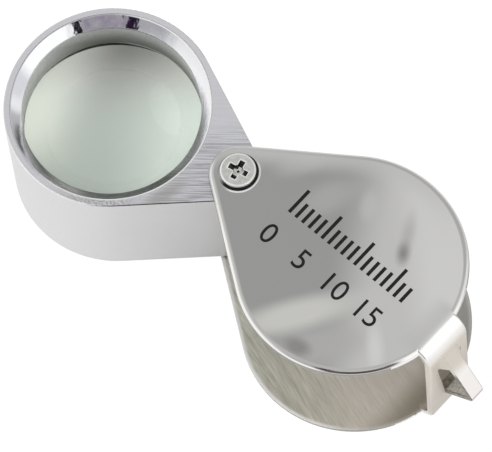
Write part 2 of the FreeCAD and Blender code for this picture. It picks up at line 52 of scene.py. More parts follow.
# Heights and radii read from the frame
COVER_LOW, COVER_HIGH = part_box("cover")
RING_LOW, RING_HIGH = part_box("eye_ring")
GLASS_LOW, GLASS_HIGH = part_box("eye_element")
SCREW_LOW, SCREW_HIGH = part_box("pivot_screw")
SPACER_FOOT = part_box("eye_spacer")[0].z

LENS_AXIS = (RING_LOW + RING_HIGH) / 2
PIVOT_AXIS = (SCREW_LOW + SCREW_HIGH) / 2
RING_EDGE = RING_HIGH.x - LENS_AXIS.x
RIM_RADIUS = (GLASS_HIGH.x - GLASS_LOW.x) / 2
COVER_TOP = max(vertex.co.z for vertex in NODES["cover"].data.vertices)
COVER_FOOT = COVER_LOW.z
COVER_ROUND = COVER_HIGH.y
PIVOT_ROUND = PIVOT_AXIS.x - COVER_LOW.x
MIDDLE = (COVER_TOP + COVER_FOOT) / 2

# Places on the folded sheet of the cover, as in the solids
SHEET = 0.9 * MM
SPINE_OUTSIDE = 14.95 * MM
SPINE_SKIN = 14.45 * MM
SPINE_INSIDE = 13.9 * MM
BEND_START = 12.3 * MM
BEND_OUTSIDE = 2.6 * MM
WINDOW_HALF = 2.6 * MM
WINDOW_TOP = 14.5 * MM


# Camera, as fitted to the photograph

CAMERA_LENS = 499.92            # long lens, in millimetres on a 36 mm sensor
SENSOR_WIDTH = 36.0
CAMERA_AZIMUTH = 48.363
CAMERA_ELEVATION = 67.706
CAMERA_ROLL = -7.005
CAMERA_DISTANCE = 797.07 * MM
CAMERA_TARGET = Vector((-15.19, -1.79, 9.75)) * MM
CLIP_NEAR, CLIP_FAR = 0.01, 50.0


def direction(azimuth, elevation):
    """Unit vector that points from the object to a viewer at these angles in degrees."""
    turn, rise = math.radians(azimuth), math.radians(elevation)
    return Vector((math.sin(turn) * math.cos(rise), -math.cos(turn) * math.cos(rise), math.sin(rise)))


def new_object(name, data):
    """An object with this data, in the scene."""
    thing = bpy.data.objects.new(name, data)
    bpy.context.scene.collection.objects.link(thing)
    return thing


def make_camera():
    data = bpy.data.cameras.new("camera")
    data.lens = CAMERA_LENS
    data.sensor_width = SENSOR_WIDTH
    data.clip_start, data.clip_end = CLIP_NEAR, CLIP_FAR
    camera = new_object("camera", data)
    back = direction(CAMERA_AZIMUTH, CAMERA_ELEVATION)
    camera.location = CAMERA_TARGET + back * CAMERA_DISTANCE
    camera.rotation_mode = "QUATERNION"
    roll = Quaternion((0, 0, 1), math.radians(CAMERA_ROLL))
    camera.rotation_quaternion = (-back).to_track_quat("-Z", "Y") @ roll
    bpy.context.scene.camera = camera


# Helpers for nodes

def add(tree, kind, inputs=None, **settings):
    """A node with its settings and inputs. An input is a value or another node's output."""
    node = tree.nodes.new("ShaderNode" + kind)
    for key, value in settings.items():
        setattr(node, key, value)
    for key, value in (inputs or {}).items():
        socket = node.inputs[key]
        if isinstance(value, bpy.types.NodeSocket):
            tree.links.new(value, socket)
        else:
            socket.default_value = value
    return node


def maths(tree, operation, *values, clamp=False):
    """A Math node's output."""
    node = add(tree, "Math", dict(enumerate(values)), operation=operation, use_clamp=clamp)
    return node.outputs[0]


def dot(tree, vector, axis):
    """How far a vector reaches along a fixed axis."""
    node = add(tree, "VectorMath", {0: vector, 1: axis}, operation="DOT_PRODUCT")
    return node.outputs["Value"]


def ramp(tree, value, low, high, start=0.0, end=1.0):
    """Smooth step from start to end while the value goes from low to high."""
    node = add(tree, "MapRange", {"Value": value, "From Min": low, "From Max": high,
               "To Min": start, "To Max": end}, interpolation_type="SMOOTHSTEP")
    return node.outputs["Result"]


def span(tree, length, low, high, start=0.0, end=1.0):
    """A ramp along a length, with low and high in millimetres."""
    return ramp(tree, length, low * MM, high * MM, start, end)


def share_of(tree, value):
    """The value itself or, for a pair of a length and its bounds, their span."""
    return span(tree, value[0], *value[1]) if isinstance(value, tuple) else value


def reduced(tree, operation, values):
    values = (share_of(tree, value) for value in values)
    return functools.reduce(lambda first, second: maths(tree, operation, first, second), values)


def product(tree, *values):
    return reduced(tree, "MULTIPLY", values)


def largest(tree, *values):
    return reduced(tree, "MAXIMUM", values)


def less(tree, value, limit):
    return maths(tree, "LESS_THAN", value, limit)


def more(tree, value, limit):
    return maths(tree, "GREATER_THAN", value, limit)


def xyz(tree, vector):
    """The three parts of a vector."""
    return add(tree, "SeparateXYZ", {0: vector}).outputs


def vector_maths(tree, operation, *values):
    """A Vector Math node's vector."""
    return add(tree, "VectorMath", dict(enumerate(values)), operation=operation).outputs[0]


def vector_length(tree, vector):
    return add(tree, "VectorMath", {0: vector}, operation="LENGTH").outputs["Value"]


def vector_scale(tree, vector, factor):
    return add(tree, "VectorMath", {0: vector, "Scale": factor}, operation="SCALE").outputs[0]


def level_part(tree, vector):
    """The vector without its upright part."""
    return vector_maths(tree, "MULTIPLY", vector, (1, 1, 0))


def blend(tree, share, first, second):
    inputs = {0: share_of(tree, share), 6: first, 7: second}
    return add(tree, "Mix", inputs, data_type="RGBA").outputs[2]


def blend_vector(tree, share, first, second):
    return add(tree, "Mix", {0: share, 4: first, 5: second}, data_type="VECTOR").outputs[1]


def blend_value(tree, share, first, second):
    share, first, second = (share_of(tree, value) for value in (share, first, second))
    return add(tree, "Mix", {0: share, 2: first, 3: second}, data_type="FLOAT").outputs[0]


def grey(value):
    return (value, value, value, 1.0)


# Stage: a white floor, a room that is grey overhead, one soft lamp

HORIZON = Vector((-0.7473, 0.6644, 0.0))     # away from the camera, along the floor
RIGHTWARD = Vector((0.6644, 0.7473, 0.0))    # to the camera's right, along the floor
UPWARD = Vector((0.0, 0.0, 1.0))
ROOM_LOW, ROOM_HIGH = 1.02, 0.60     # brightness near the horizon and overhead
OPEN_FROM, OVERHEAD_FROM = 8.0, 58.0     # elevations where these begin, in degrees
# What stands in the room: angle from the camera's own side, half width, lowest and
# highest elevation, softness, all in degrees, then the colour
STANDS = (
    (-140.0, 38.0, -6.0, 62.0, 8.0, (0.52, 0.52, 0.52, 1)),
    (162.0, 20.0, -6.0, 50.0, 9.0, (0.60, 0.60, 0.60, 1)),
    (-90.0, 10.0, 7.0, 26.0, 5.0, (0.76, 0.77, 0.79, 1)),
    (-103.0, 5.0, 2.0, 20.0, 4.0, (0.92, 0.93, 0.93, 1)),
    (-127.0, 10.0, -20.0, 6.0, 4.0, (0.12, 0.12, 0.12, 1)),
    (-52.0, 24.0, 13.0, 66.0, 6.0, (1.15, 1.15, 1.15, 1)),
    (42.0, 22.0, 14.0, 46.0, 13.0, (0.42, 0.42, 0.44, 1)),
    (3.0, 19.5, 12.0, 38.0, 2.5, (0.40, 0.39, 0.41, 1)),
    (3.0, 13.0, -20.0, 9.0, 2.5, (0.02, 0.02, 0.02, 1)),
    (-20.5, 3.5, 12.0, 46.0, 1.5, (0.01, 0.01, 0.015, 1)),
    (28.5, 5.5, 12.0, 48.0, 1.5, (0.02, 0.01, 0.03, 1)),
)


def ray_kinds(tree):
    """Which rays arrive: straight from the camera, off a mirror, through glass."""
    path = add(tree, "LightPath")
    refracted = path.outputs["Is Transmission Ray"]
    mirrored = maths(tree, "SUBTRACT", path.outputs["Is Glossy Ray"], refracted, clamp=True)
    return path.outputs["Is Camera Ray"], mirrored, refracted


def make_world():
    world = bpy.data.worlds.new("room")
    bpy.context.scene.world = world
    world.use_nodes = True
    tree = world.node_tree
    tree.nodes.clear()
    ray = add(tree, "TexCoord").outputs["Generated"]
    away, right, up = (dot(tree, ray, axis) for axis in (HORIZON, RIGHTWARD, UPWARD))
    elevation = product(tree, maths(tree, "ARCSINE", up), math.degrees(1))
    open_room = add(tree, "MapRange", {"Value": elevation, "From Min": OVERHEAD_FROM,
                    "From Max": OPEN_FROM}).outputs["Result"]
    colour = blend(tree, open_room, grey(ROOM_HIGH), grey(ROOM_LOW))
    angle = maths(tree, "ARCTAN2", product(tree, right, -1), product(tree, away, -1))
    around = product(tree, angle, math.degrees(1))
    for centre, half, low, high, soft, shade in STANDS:
        aside = maths(tree, "ABSOLUTE", maths(tree, "SUBTRACT", around, centre))
        wide = ramp(tree, aside, half - soft, half + soft, 1.0, 0.0)
        above = ramp(tree, elevation, low - soft, low + soft)
        below = ramp(tree, elevation, high - soft, high + soft, 1.0, 0.0)
        colour = blend(tree, product(tree, wide, above, below), colour, shade)
    straight, _, through = ray_kinds(tree)
    colour = blend(tree, largest(tree, straight, through), colour, grey(1.0))
    background = add(tree, "Background", {"Color": colour, "Strength": 1.0})
    output = add(tree, "OutputWorld")
    tree.links.new(background.outputs[0], output.inputs["Surface"])


FLOOR_HALF = 3.0
FLOOR_DROP = 0.01 * MM
UNDERSIDE_GAP = 5 * FLOOR_DROP      # light that starts this near comes off the underside
FLOOR_COLOUR = (0.90, 0.90, 0.90, 1)
# Shares of plain white in the floor that each kind of ray sees. The rest is lit paper.
# In a mirror, the floor glows whitest to the left of the loupe and on the camera's side, a painted pool of
# light.
STRAIGHT_SHARE, THROUGH_SHARE = 0.88, 0.85
LIGHT_SHARE = 0.72
LEFT_LIGHT, LEFT_SHADE = -38.0 * MM, -8.0 * MM
NEAR_LIGHT, NEAR_SHADE = -18.0 * MM, -4.0 * MM
GLOW = 1.10


def make_floor():
    mesh = bpy.data.meshes.new("floor")
    corners = [(-FLOOR_HALF, -FLOOR_HALF), (FLOOR_HALF, -FLOOR_HALF),
               (FLOOR_HALF, FLOOR_HALF), (-FLOOR_HALF, FLOOR_HALF)]
    mesh.from_pydata([(x, y, -FLOOR_DROP) for x, y in corners], [], [(0, 1, 2, 3)])
    floor = new_object("floor", mesh)
    material = bpy.data.materials.new("floor_paper")
    material.use_nodes = True
    tree = material.node_tree
    tree.nodes.clear()
    place = add(tree, "TexCoord").outputs["Object"]
    left = ramp(tree, dot(tree, place, RIGHTWARD), LEFT_LIGHT, LEFT_SHADE, LIGHT_SHARE, 0.0)
    near = ramp(tree, dot(tree, place, HORIZON), NEAR_LIGHT, NEAR_SHADE, LIGHT_SHARE, 0.0)
    share = 0.0
    for kind, white in zip(ray_kinds(tree), (STRAIGHT_SHARE, largest(tree, left, near), THROUGH_SHARE)):
        share = maths(tree, "MULTIPLY_ADD", kind, white, share)
    paper = add(tree, "BsdfDiffuse", {"Color": FLOOR_COLOUR})
    glow = add(tree, "Emission", {"Color": grey(1.0), "Strength": GLOW})
    lit = add(tree, "MixShader", {0: share, 1: paper.outputs[0], 2: glow.outputs[0]})
    # Seen from below, the floor is clear, so that the underside can be looked at. So it is
    # for light that leaves the underside.
    below = add(tree, "NewGeometry").outputs["Backfacing"]
    started = add(tree, "LightPath").outputs["Ray Length"]
    below = largest(tree, below, less(tree, started, UNDERSIDE_GAP))
    clear = add(tree, "BsdfTransparent")
    both = add(tree, "MixShader", {0: below, 1: lit.outputs[0], 2: clear.outputs[0]})
    output = add(tree, "OutputMaterial")
    tree.links.new(both.outputs[0], output.inputs["Surface"])
    mesh.materials.append(material)


LAMP_PLACE = Vector((-0.30, -0.40, 0.28))
LAMP_SIZE = 0.5
LAMP_POWER = 0.95


def make_lamp():
    """A soft box on the left that lights the floor. The metal mirrors only the room."""
    data = bpy.data.lights.new("soft_box", "AREA")
    data.shape = "DISK"
    data.size = LAMP_SIZE
    data.energy = LAMP_POWER
    lamp = new_object("soft_box", data)
    lamp.visible_glossy = False
    lamp.location = LAMP_PLACE
    lamp.rotation_mode = "QUATERNION"
    lamp.rotation_quaternion = (CAMERA_TARGET - LAMP_PLACE).to_track_quat("-Z", "Y")


# Materials

# A mask's bounds are written (from, to) or (from, to, share at from, share at to), in
# millimetres where they are lengths. Colours are red, green, blue and 1.

WHITE = (1.0, 1.0, 1.0, 1)
USUAL_NOISE = (0.3, 0.7)            # the range that most of a noise lies in


def surface(name, **values):
    """A material with one Principled shader, its plain values set on its own sockets."""
    material = bpy.data.materials.new(name)
    material.use_nodes = True
    tree = material.node_tree
    tree.nodes.clear()
    shader = add(tree, "BsdfPrincipled")
    for key, value in values.items():
        shader.inputs[key.replace("_", " ")].default_value = value
    output = add(tree, "OutputMaterial")
    tree.links.new(shader.outputs[0], output.inputs["Surface"])
    return material, tree, shader


def wire(tree, shader, **values):
    """Link what nodes give to the shader's sockets."""
    for key, value in values.items():
        tree.links.new(value, shader.inputs[key.replace("_", " ")])


def part_place(tree):
    """A point's place in the part's own frame, in metres."""
    return add(tree, "TexCoord").outputs["Object"]


def from_lens(tree, place):
    """A point's place from the middle of the lens, away from the camera and to its right."""
    offset = vector_maths(tree, "SUBTRACT", place, LENS_AXIS)
    return offset, dot(tree, offset, HORIZON), dot(tree, offset, RIGHTWARD)


def from_axis(tree, place, centre):
    """Distance from an upright axis, in metres."""
    return vector_length(tree, level_part(tree, vector_maths(tree, "SUBTRACT", place, centre)))


def streaks(tree, place, angle, across, along, detail=4.0, seed=0.0):
    """Noise drawn out along one direction in the XY plane, as brushing leaves it.

    across and along are the sizes of one streak in millimetres.
    """
    turned = add(tree, "Mapping", {"Vector": place, "Rotation": (0, 0, -math.radians(angle)),
                 "Location": (0, 0, seed)})
    drawn = add(tree, "Mapping", {"Vector": turned.outputs[0],
                "Scale": (1 / (along * MM), 1 / (across * MM), 1 / MM)})
    noise = add(tree, "TexNoise", {"Vector": drawn.outputs[0], "Scale": 1.0,
                "Detail": detail, "Roughness": 0.6})
    return noise.outputs["Fac"]


def cloud(tree, place, size, detail=2.0, seed=0.0):
    """Soft noise whose lumps are about size millimetres across."""
    moved = add(tree, "Mapping", {"Vector": place, "Location": (seed, seed, seed),
                "Scale": (1 / (size * MM),) * 3})
    noise = add(tree, "TexNoise", {"Vector": moved.outputs[0], "Scale": 1.0,
                "Detail": detail, "Roughness": 0.5})
    return noise.outputs["Fac"]


def bump(tree, height, depth, normal=None):
    """Bump of a height from 0 to 1 that stands for depth millimetres."""
    node = add(tree, "Bump", {"Height": height, "Strength": 1.0, "Distance": depth * MM})
    if normal is not None:
        tree.links.new(normal, node.inputs["Normal"])
    return node.outputs["Normal"]


def scaled(tree, value, low, high):
    """A noise value, spread from its usual range to low and high."""
    node = add(tree, "MapRange", {"Value": value, "From Min": USUAL_NOISE[0],
               "From Max": USUAL_NOISE[1], "To Min": low, "To Max": high})
    return node.outputs["Result"]


def spot(tree, place, middle, turn, length, width, core=0.0):
    """1 in the middle of a soft oval on the level, falling to 0 at its edge.

    The middle is in millimetres to the camera's right and away from it, the length and
    width are in millimetres, and the turn is in degrees from the camera's right. The core
    is the share of the oval that stays at 1.
    """
    centre = (RIGHTWARD * middle[0] + HORIZON * middle[1]) * MM
    aside = vector_maths(tree, "SUBTRACT", place, centre)
    turn = -math.radians(turn) - math.atan2(RIGHTWARD.y, RIGHTWARD.x)
    turned = add(tree, "Mapping", {"Vector": aside, "Rotation": (0, 0, turn)})
    shrunk = add(tree, "Mapping", {"Vector": turned.outputs[0],
                 "Scale": (2 / (length * MM), 2 / (width * MM), 0)})
    return ramp(tree, vector_length(tree, shrunk.outputs[0]), core, 1.0, 1.0, 0.0)


def with_spots(tree, place, colour, spots):
    """The colour with soft patches laid over it."""
    for *oval, strength, shade in spots:
        share = product(tree, spot(tree, place, *oval), strength)
        colour = blend(tree, share, colour, shade)
    return colour


# The cover

# A spot gives middle, turn, length, width and core, and a patch also strength and colour.

BEND_SLACK = 0.05 * MM
NOSE_DEPTH = (1.4 * MM, 0.4 * MM)       # below the window's top, where its cut faces end
SIDE_FACING, FRONT_FACING, BACK_FACING = 0.6, 0.5, -0.3
ROOT_START, ROOT_DEPTH, ROOT_SIDES = 10.0 * MM, 1.0 * MM, (3.05, 3.2, 1.0, 0.0)
SEAT_RADIUS = 2.42 * MM                 # round the screw's head
SEAT_DEPTH = 0.02 * MM
SCREW_PULL = RIGHTWARD * 0.60 - HORIZON * 0.80      # the side where the screw's seat shows

# Painted sheen: colours that stand in for the reflections in the polished top, dark on the left and light on
# the right, with painted reflection patches
PAINTED_SHEEN_LEAN = 0.30
PAINTED_SHEEN_MIDDLE, PAINTED_SHEEN_RIGHT = (-3.0, 4.0), (4.5, 9.5)
PAINTED_SHEEN_DARK, PAINTED_SHEEN_LIGHT = (0.51, 0.515, 0.505, 1), (0.84, 0.835, 0.82, 1)
PAINTED_SHEEN_BRIGHT = (0.985, 0.98, 0.965, 1)
PAINTED_SHEEN_SPOTS = (
    ((-4.3, 12.9), 8.0, 9.0, 3.8, 0.2, 0.6, (0.72, 0.71, 0.69, 1)),
    ((-1.6, 8.4), 20.0, 11.0, 5.5, 0.2, 0.55, (0.72, 0.71, 0.695, 1)),
    ((2.9, 6.8), 75.0, 5.5, 3.0, 0.2, 0.5, (0.86, 0.85, 0.84, 1)),
    ((-5.0, -9.6), 4.0, 17.0, 7.5, 0.2, 0.9, (0.68, 0.67, 0.66, 1)),
    ((-7.0, -5.5), 8.0, 22.0, 5.6, 0.25, 1.0, (0.91, 0.905, 0.86, 1)),
    ((1.5, -10.9), 86.0, 10.0, 3.0, 0.1, 0.9, (1.0, 1.0, 0.98, 1)),
    ((6.9, 2.6), 72.0, 8.5, 2.6, 0.0, 0.6, (0.62, 0.615, 0.60, 1)),
    ((6.1, 0.4), 76.0, 4.4, 2.4, 0.0, 0.9, (0.38, 0.375, 0.365, 1)),
    ((-7.3, -9.4), -30.0, 4.8, 3.2, 0.2, 0.9, (0.40, 0.395, 0.385, 1)),
)
# Painted shade on the top just before the bend of the spine
BEFORE_BEND, AT_BEND, BEND_SIDES = (9.5, 12.2, 0.0, 0.7), (12.3, 13.0, 1.0, 0.0), (2.8, 4.2, 1.0, 0.0)
BEND_SHADE_COLOUR = (0.78, 0.775, 0.765, 1)
# Painted sheen, lighter near the rim on the far side
FAR_RIM_DEPTH, FAR_RIM_AWAY, FAR_RIM_SIDE = (0.6, 3.4, 0.8, 0.0), (2.0, 9.0), (-3.0, 2.0)
FAR_RIM_SHEEN_COLOUR = (0.86, 0.855, 0.845, 1)
# Painted highlight along the rim's edge and painted shade inside it, then a thin painted dark reflection low
# on the camera's side
RIM_INWARD, RIM_END = (0.22, 0.42), (0.55, 0.80)
RIM_HIGHLIGHT_COLOUR, RIM_SHADE_COLOUR = (0.92, 0.91, 0.89, 1), (0.74, 0.73, 0.705, 1)
RIM_DARK_LINE_START, RIM_DARK_LINE_END = (0.05, 0.12), (0.20, 0.34, 0.9, 0.0)
RIM_DARK_LINE_SPOT, RIM_DARK_LINE_COLOUR = ((-1.0, -13.6), 0.0, 13.0, 5.0, 0.5), (0.08, 0.065, 0.05, 1)
# A burr round the seat of the screw, on one side; its bright white is a painted glint
BURR_START, BURR_END, BURR_PULL = (2.40, 2.46), (2.58, 2.68, 1.0, 0.0), (0.0, 0.5)
BURR_GLINT_COLOUR, BURR_SATIN = (0.97, 0.97, 0.95, 1), 0.9

SPINE_START, SPINE_END = (SPINE_SKIN / MM - 1.0, SPINE_SKIN / MM), (2.7 * MM, 0.5 * MM)
SPINE_HEIGHTS = (3.0, 14.0, 1.0, 0.0)
# The spine's face is warm, and darker toward the bottom by painted shade
SPINE_COLOUR, SPINE_LOW_SHADE_COLOUR = (0.84, 0.775, 0.69, 1), (0.70, 0.65, 0.575, 1)
FACE_END, FACE_SATIN = (16.0, 17.2, 1.0, 0.0), 0.8
STRIP_START, STRIP_COLOUR = (16.4, 17.6, 0.0, 0.9), (0.93, 0.89, 0.86, 1)
# Painted shade on the strip's faces at its tip that don't face up
TIP_FACING, TIP_SHADE_COLOUR = (0.10, 0.46, 1.0, 0.0), (0.50, 0.47, 0.47, 1)

CHEEK_BRUSHING = -14.0                  # direction of the brushing inside, in degrees
CHEEK_LINES = (CHEEK_BRUSHING, 0.20, 6.0)
CHEEK_COARSE = (CHEEK_BRUSHING, 0.9, 10.0, 4.0, 0.02)
CHEEK_SHORT = (CHEEK_BRUSHING - 4.0, 0.26, 2.6, 2.0, 0.05)
COARSE_SHARE, SHORT_SHARE = 0.45, 0.55
CHEEK_TURN = (-12.0, 3.0)
WARM_LEFT, WARM_RIGHT = (0.94, 0.93, 0.83, 1), (1.0, 0.95, 0.89, 1)
DARK_LEFT, DARK_RIGHT = (0.57, 0.565, 0.485, 1), (0.89, 0.82, 0.745, 1)
# Painted light: the upper cheek's underside is lighter than the steel elsewhere, so that more light bounces
# into the gap
UPPER_BOUNCE_COLOUR = (0.99, 0.975, 0.94, 1)
# Painted shade in the corner by the spine and beyond it
CORNER_SHADE_START, CORNER_SHADE_COLOUR = (8.5, 12.5, 0.0, 0.85), (0.40, 0.36, 0.28, 1)
BEYOND_START, BEYOND_SHADE_COLOUR = (3.0, 6.0, 0.0, 0.8), (0.42, 0.42, 0.39, 1)
LOOP_DARK, LOOP_LIGHT = (0.46, 0.445, 0.39, 1), (1.0, 0.98, 0.90, 1)
# Painted shade, mottled, on the cut faces in the window
CUT_SHADE_DARK, CUT_SHADE_LIGHT = (0.13, 0.12, 0.09, 1), (0.38, 0.35, 0.29, 1)
# The sheet's cut edge is darker: duller as cut steel, and darkened further as painted shade
CUT_DEPTH, CUT_END, CUT_COLOUR = 0.06 * MM, SPINE_INSIDE - 2.0 * MM, (0.34, 0.33, 0.31, 1)
# Painted highlight: a light line along the open edge of the lower cheek, on the left
OPEN_DEPTH, OPEN_TURN = (0.20, 0.55, 0.8, 0.0), (-6.0, -1.0, 1.0, 0.4)
OPEN_HIGHLIGHT_COLOUR, WITHIN_SATIN = (1.0, 1.0, 0.97, 1), 0.15
SEAT_SHADE_PULL, SEAT_SHADE_COLOUR = (-0.5, 0.0), (0.03, 0.03, 0.028, 1)
ROUGH_INSIDE, ROUGH_OUTSIDE, ROUGH_SPINE = (0.30, 0.42), (0.13, 0.18), 0.42
BOW_RADIUS = 311.0 * MM                 # the sheet's slight outward bow


class CoverPlaces:
    """What tells where on the cover a point lies, worked out once."""

    def __init__(self, tree):
        place = self.place = part_place(tree)
        self.across, self.side, self.height = xyz(tree, place)
        self.beside = maths(tree, "ABSOLUTE", self.side)
        self.aside, self.away = dot(tree, place, RIGHTWARD), dot(tree, place, HORIZON)
        facing = xyz(tree, add(tree, "TexCoord").outputs["Normal"])
        self.from_middle = maths(tree, "ABSOLUTE", maths(tree, "SUBTRACT", self.height, MIDDLE))
        # The reach from the middle of each bend tells the inside of the sheet from its outside
        past = largest(tree, maths(tree, "SUBTRACT", self.across, BEND_START), 0.0)
        above = maths(tree, "SUBTRACT", self.from_middle, MIDDLE - COVER_FOOT - BEND_OUTSIDE)
        above = largest(tree, above, 0.0)
        square = maths(tree, "MULTIPLY_ADD", past, past, product(tree, above, above))
        self.within = less(tree, maths(tree, "SQRT", square), BEND_OUTSIDE - SHEET + BEND_SLACK)
        # Cut faces of the window and of the strip, and the strip's inner faces
        in_window = product(tree, more(tree, self.across, SPINE_INSIDE),
                            less(tree, self.beside, WINDOW_HALF),
                            ramp(tree, self.height, *(WINDOW_TOP - depth for depth in NOSE_DEPTH), 1.0, 0.0))
        beyond = more(tree, self.across, SPINE_OUTSIDE)
        ahead, sideways, self.upward = facing
        sideways = more(tree, maths(tree, "ABSOLUTE", sideways), SIDE_FACING)
        cut = product(tree, maths(tree, "SUBTRACT", 1.0, beyond), less(tree, ahead, FRONT_FACING))
        self.cut_face = product(tree, largest(tree, cut, sideways), in_window)
        self.loop_inside = product(tree, beyond, less(tree, ahead, BACK_FACING))
        self.inside = largest(tree, self.within, self.loop_inside, self.cut_face)
        # The sheet runs on into the spine at its root there, without a rim
        root = product(tree, (self.beside, ROOT_SIDES), more(tree, self.across, ROOT_START))
        self.depth = largest(tree, outline_depth(tree, place), product(tree, root, ROOT_DEPTH))
        low, high = (MIDDLE - end for end in SPINE_END)
        self.on_spine = product(tree, (self.across, SPINE_START),
                                ramp(tree, self.from_middle, low, high, 1.0, 0.0))
        self.on_face = product(tree, self.on_spine, (self.across, FACE_END))
        # Round the screw, where the burr is, with its painted glint, and where the painted shade in the seat
        # is
        self.out = from_axis(tree, place, PIVOT_AXIS)
        offset = vector_maths(tree, "SUBTRACT", place, PIVOT_AXIS)
        self.to_pull = maths(tree, "DIVIDE", dot(tree, offset, SCREW_PULL), self.out)
        self.burr = product(tree, (self.out, BURR_START), (self.out, BURR_END),
                            ramp(tree, self.to_pull, *BURR_PULL))


def outline_depth(tree, place):
    """How far inside the cheek's outline a point lies, in metres.

    The outline is two rounds, one about the row's origin and one about the pivot, and
    the straight lines that touch both.
    """
    across, side, _ = xyz(tree, place)
    along = product(tree, across, -1)
    aside = maths(tree, "ABSOLUTE", side)
    narrowing = (COVER_ROUND - PIVOT_ROUND) / -PIVOT_AXIS.x
    steep = math.sqrt(1 - narrowing ** 2)
    to_line = maths(tree, "ADD", product(tree, aside, steep), product(tree, along, narrowing))
    line_depth = maths(tree, "SUBTRACT", COVER_ROUND, to_line)
    reach = maths(tree, "SUBTRACT", product(tree, along, steep), product(tree, aside, narrowing))
    round_depth = maths(tree, "SUBTRACT", COVER_ROUND, from_axis(tree, place, (0, 0, 0)))
    pivot_depth = maths(tree, "SUBTRACT", PIVOT_ROUND, from_axis(tree, place, PIVOT_AXIS))
    depth = blend_value(tree, less(tree, reach, 0.0), line_depth, round_depth)
    return blend_value(tree, more(tree, reach, -PIVOT_AXIS.x * steep), depth, pivot_depth)


def cover_top_colour(tree, at):
    """Painted sheen that stands in for the reflections in the polish, from dark on the left to light on the
    right, and the rim with its painted highlight and shade.
    """
    leaning = maths(tree, "MULTIPLY_ADD", at.away, -PAINTED_SHEEN_LEAN, at.aside)
    painted_sheen = blend(tree, (leaning, PAINTED_SHEEN_MIDDLE), PAINTED_SHEEN_DARK, PAINTED_SHEEN_LIGHT)
    painted_sheen = blend(tree, (at.aside, PAINTED_SHEEN_RIGHT), painted_sheen, PAINTED_SHEEN_BRIGHT)
    painted_sheen = with_spots(tree, at.place, painted_sheen, PAINTED_SHEEN_SPOTS)
    # Painted shade just before the bend
    shade_before_bend = product(tree, (at.across, BEFORE_BEND), (at.across, AT_BEND), (at.beside, BEND_SIDES))
    painted_sheen = blend(tree, shade_before_bend, painted_sheen, BEND_SHADE_COLOUR)
    # Painted sheen, lighter near the far rim
    far_rim_sheen = product(tree, (at.depth, FAR_RIM_DEPTH), (at.away, FAR_RIM_AWAY), (at.side, FAR_RIM_SIDE))
    painted_sheen = blend(tree, far_rim_sheen, painted_sheen, FAR_RIM_SHEEN_COLOUR)
    # Painted highlight along the rim's very edge and painted shade just inside it, and a thin painted dark
    # reflection low on the camera's side
    painted_rim = blend(tree, (at.depth, RIM_INWARD), RIM_HIGHLIGHT_COLOUR, RIM_SHADE_COLOUR)
    colour = blend(tree, (at.depth, RIM_END), painted_rim, painted_sheen)
    rim_dark_line = product(tree, (at.depth, RIM_DARK_LINE_START), (at.depth, RIM_DARK_LINE_END), spot(tree, at.place, *RIM_DARK_LINE_SPOT))
    colour = blend(tree, rim_dark_line, colour, RIM_DARK_LINE_COLOUR)
    # The burr round the screw's seat, whitened as a painted glint
    return blend(tree, at.burr, colour, BURR_GLINT_COLOUR)


def cover_outside_colour(tree, at):
    """The top, the warmer spine with painted shade low down, and the strip of the loop with painted shade on
    its tip.
    """
    colour = cover_top_colour(tree, at)
    spine = blend(tree, (at.height, SPINE_HEIGHTS), SPINE_COLOUR, SPINE_LOW_SHADE_COLOUR)
    colour = blend(tree, at.on_face, colour, spine)
    on_strip = span(tree, at.across, *STRIP_START)
    colour = blend(tree, on_strip, colour, STRIP_COLOUR)
    tip_shade = product(tree, on_strip, ramp(tree, at.upward, *TIP_FACING))
    return blend(tree, tip_shade, colour, TIP_SHADE_COLOUR)


def cover_inside_colour(tree, at):
    """Brushed, with painted shade in the corner by the spine, beyond it and on the cut faces in the window,
    mottled in the loop.
    """
    coarse = streaks(tree, at.place, *CHEEK_COARSE)
    short = streaks(tree, at.place, *CHEEK_SHORT)
    strokes = maths(tree, "MULTIPLY_ADD", coarse, COARSE_SHARE, product(tree, short, SHORT_SHARE))
    toward = span(tree, at.aside, *CHEEK_TURN)
    warm = blend(tree, toward, WARM_LEFT, WARM_RIGHT)
    dark = blend(tree, toward, DARK_LEFT, DARK_RIGHT)
    colour = blend(tree, scaled(tree, strokes, -0.2, 1.2), dark, warm)
    # Painted light: the upper cheek's underside is lighter, so that more light bounces into the gap
    colour = blend(tree, more(tree, at.height, MIDDLE), colour, UPPER_BOUNCE_COLOUR)
    colour = blend(tree, (at.across, CORNER_SHADE_START), colour, CORNER_SHADE_COLOUR)
    colour = blend(tree, (at.side, BEYOND_START), colour, BEYOND_SHADE_COLOUR)
    lumps = scaled(tree, cloud(tree, at.place, 0.5, detail=3.0), 0, 1)
    mottled = blend(tree, lumps, LOOP_DARK, LOOP_LIGHT)
    colour = blend(tree, at.loop_inside, colour, mottled)
    return blend(tree, at.cut_face, colour, blend(tree, lumps, CUT_SHADE_DARK, CUT_SHADE_LIGHT))


def cover_relief(tree, at, lines):
    """The sheet's bow, the slight waves of pressing and the lines of brushing inside."""
    level = level_part(tree, at.place)
    outside = maths(tree, "SUBTRACT", 1.0, at.inside)
    bowed = product(tree, dot(tree, level, level), -1 / (2 * BOW_RADIUS), outside)
    shape = add(tree, "Bump", {"Height": bowed, "Strength": 1.0, "Distance": 1.0})
    waves = bump(tree, cloud(tree, at.place, 12.0, detail=0.0, seed=0.31), 0.05, shape.outputs["Normal"])
    return bump(tree, product(tree, lines, at.inside), 0.012, waves)


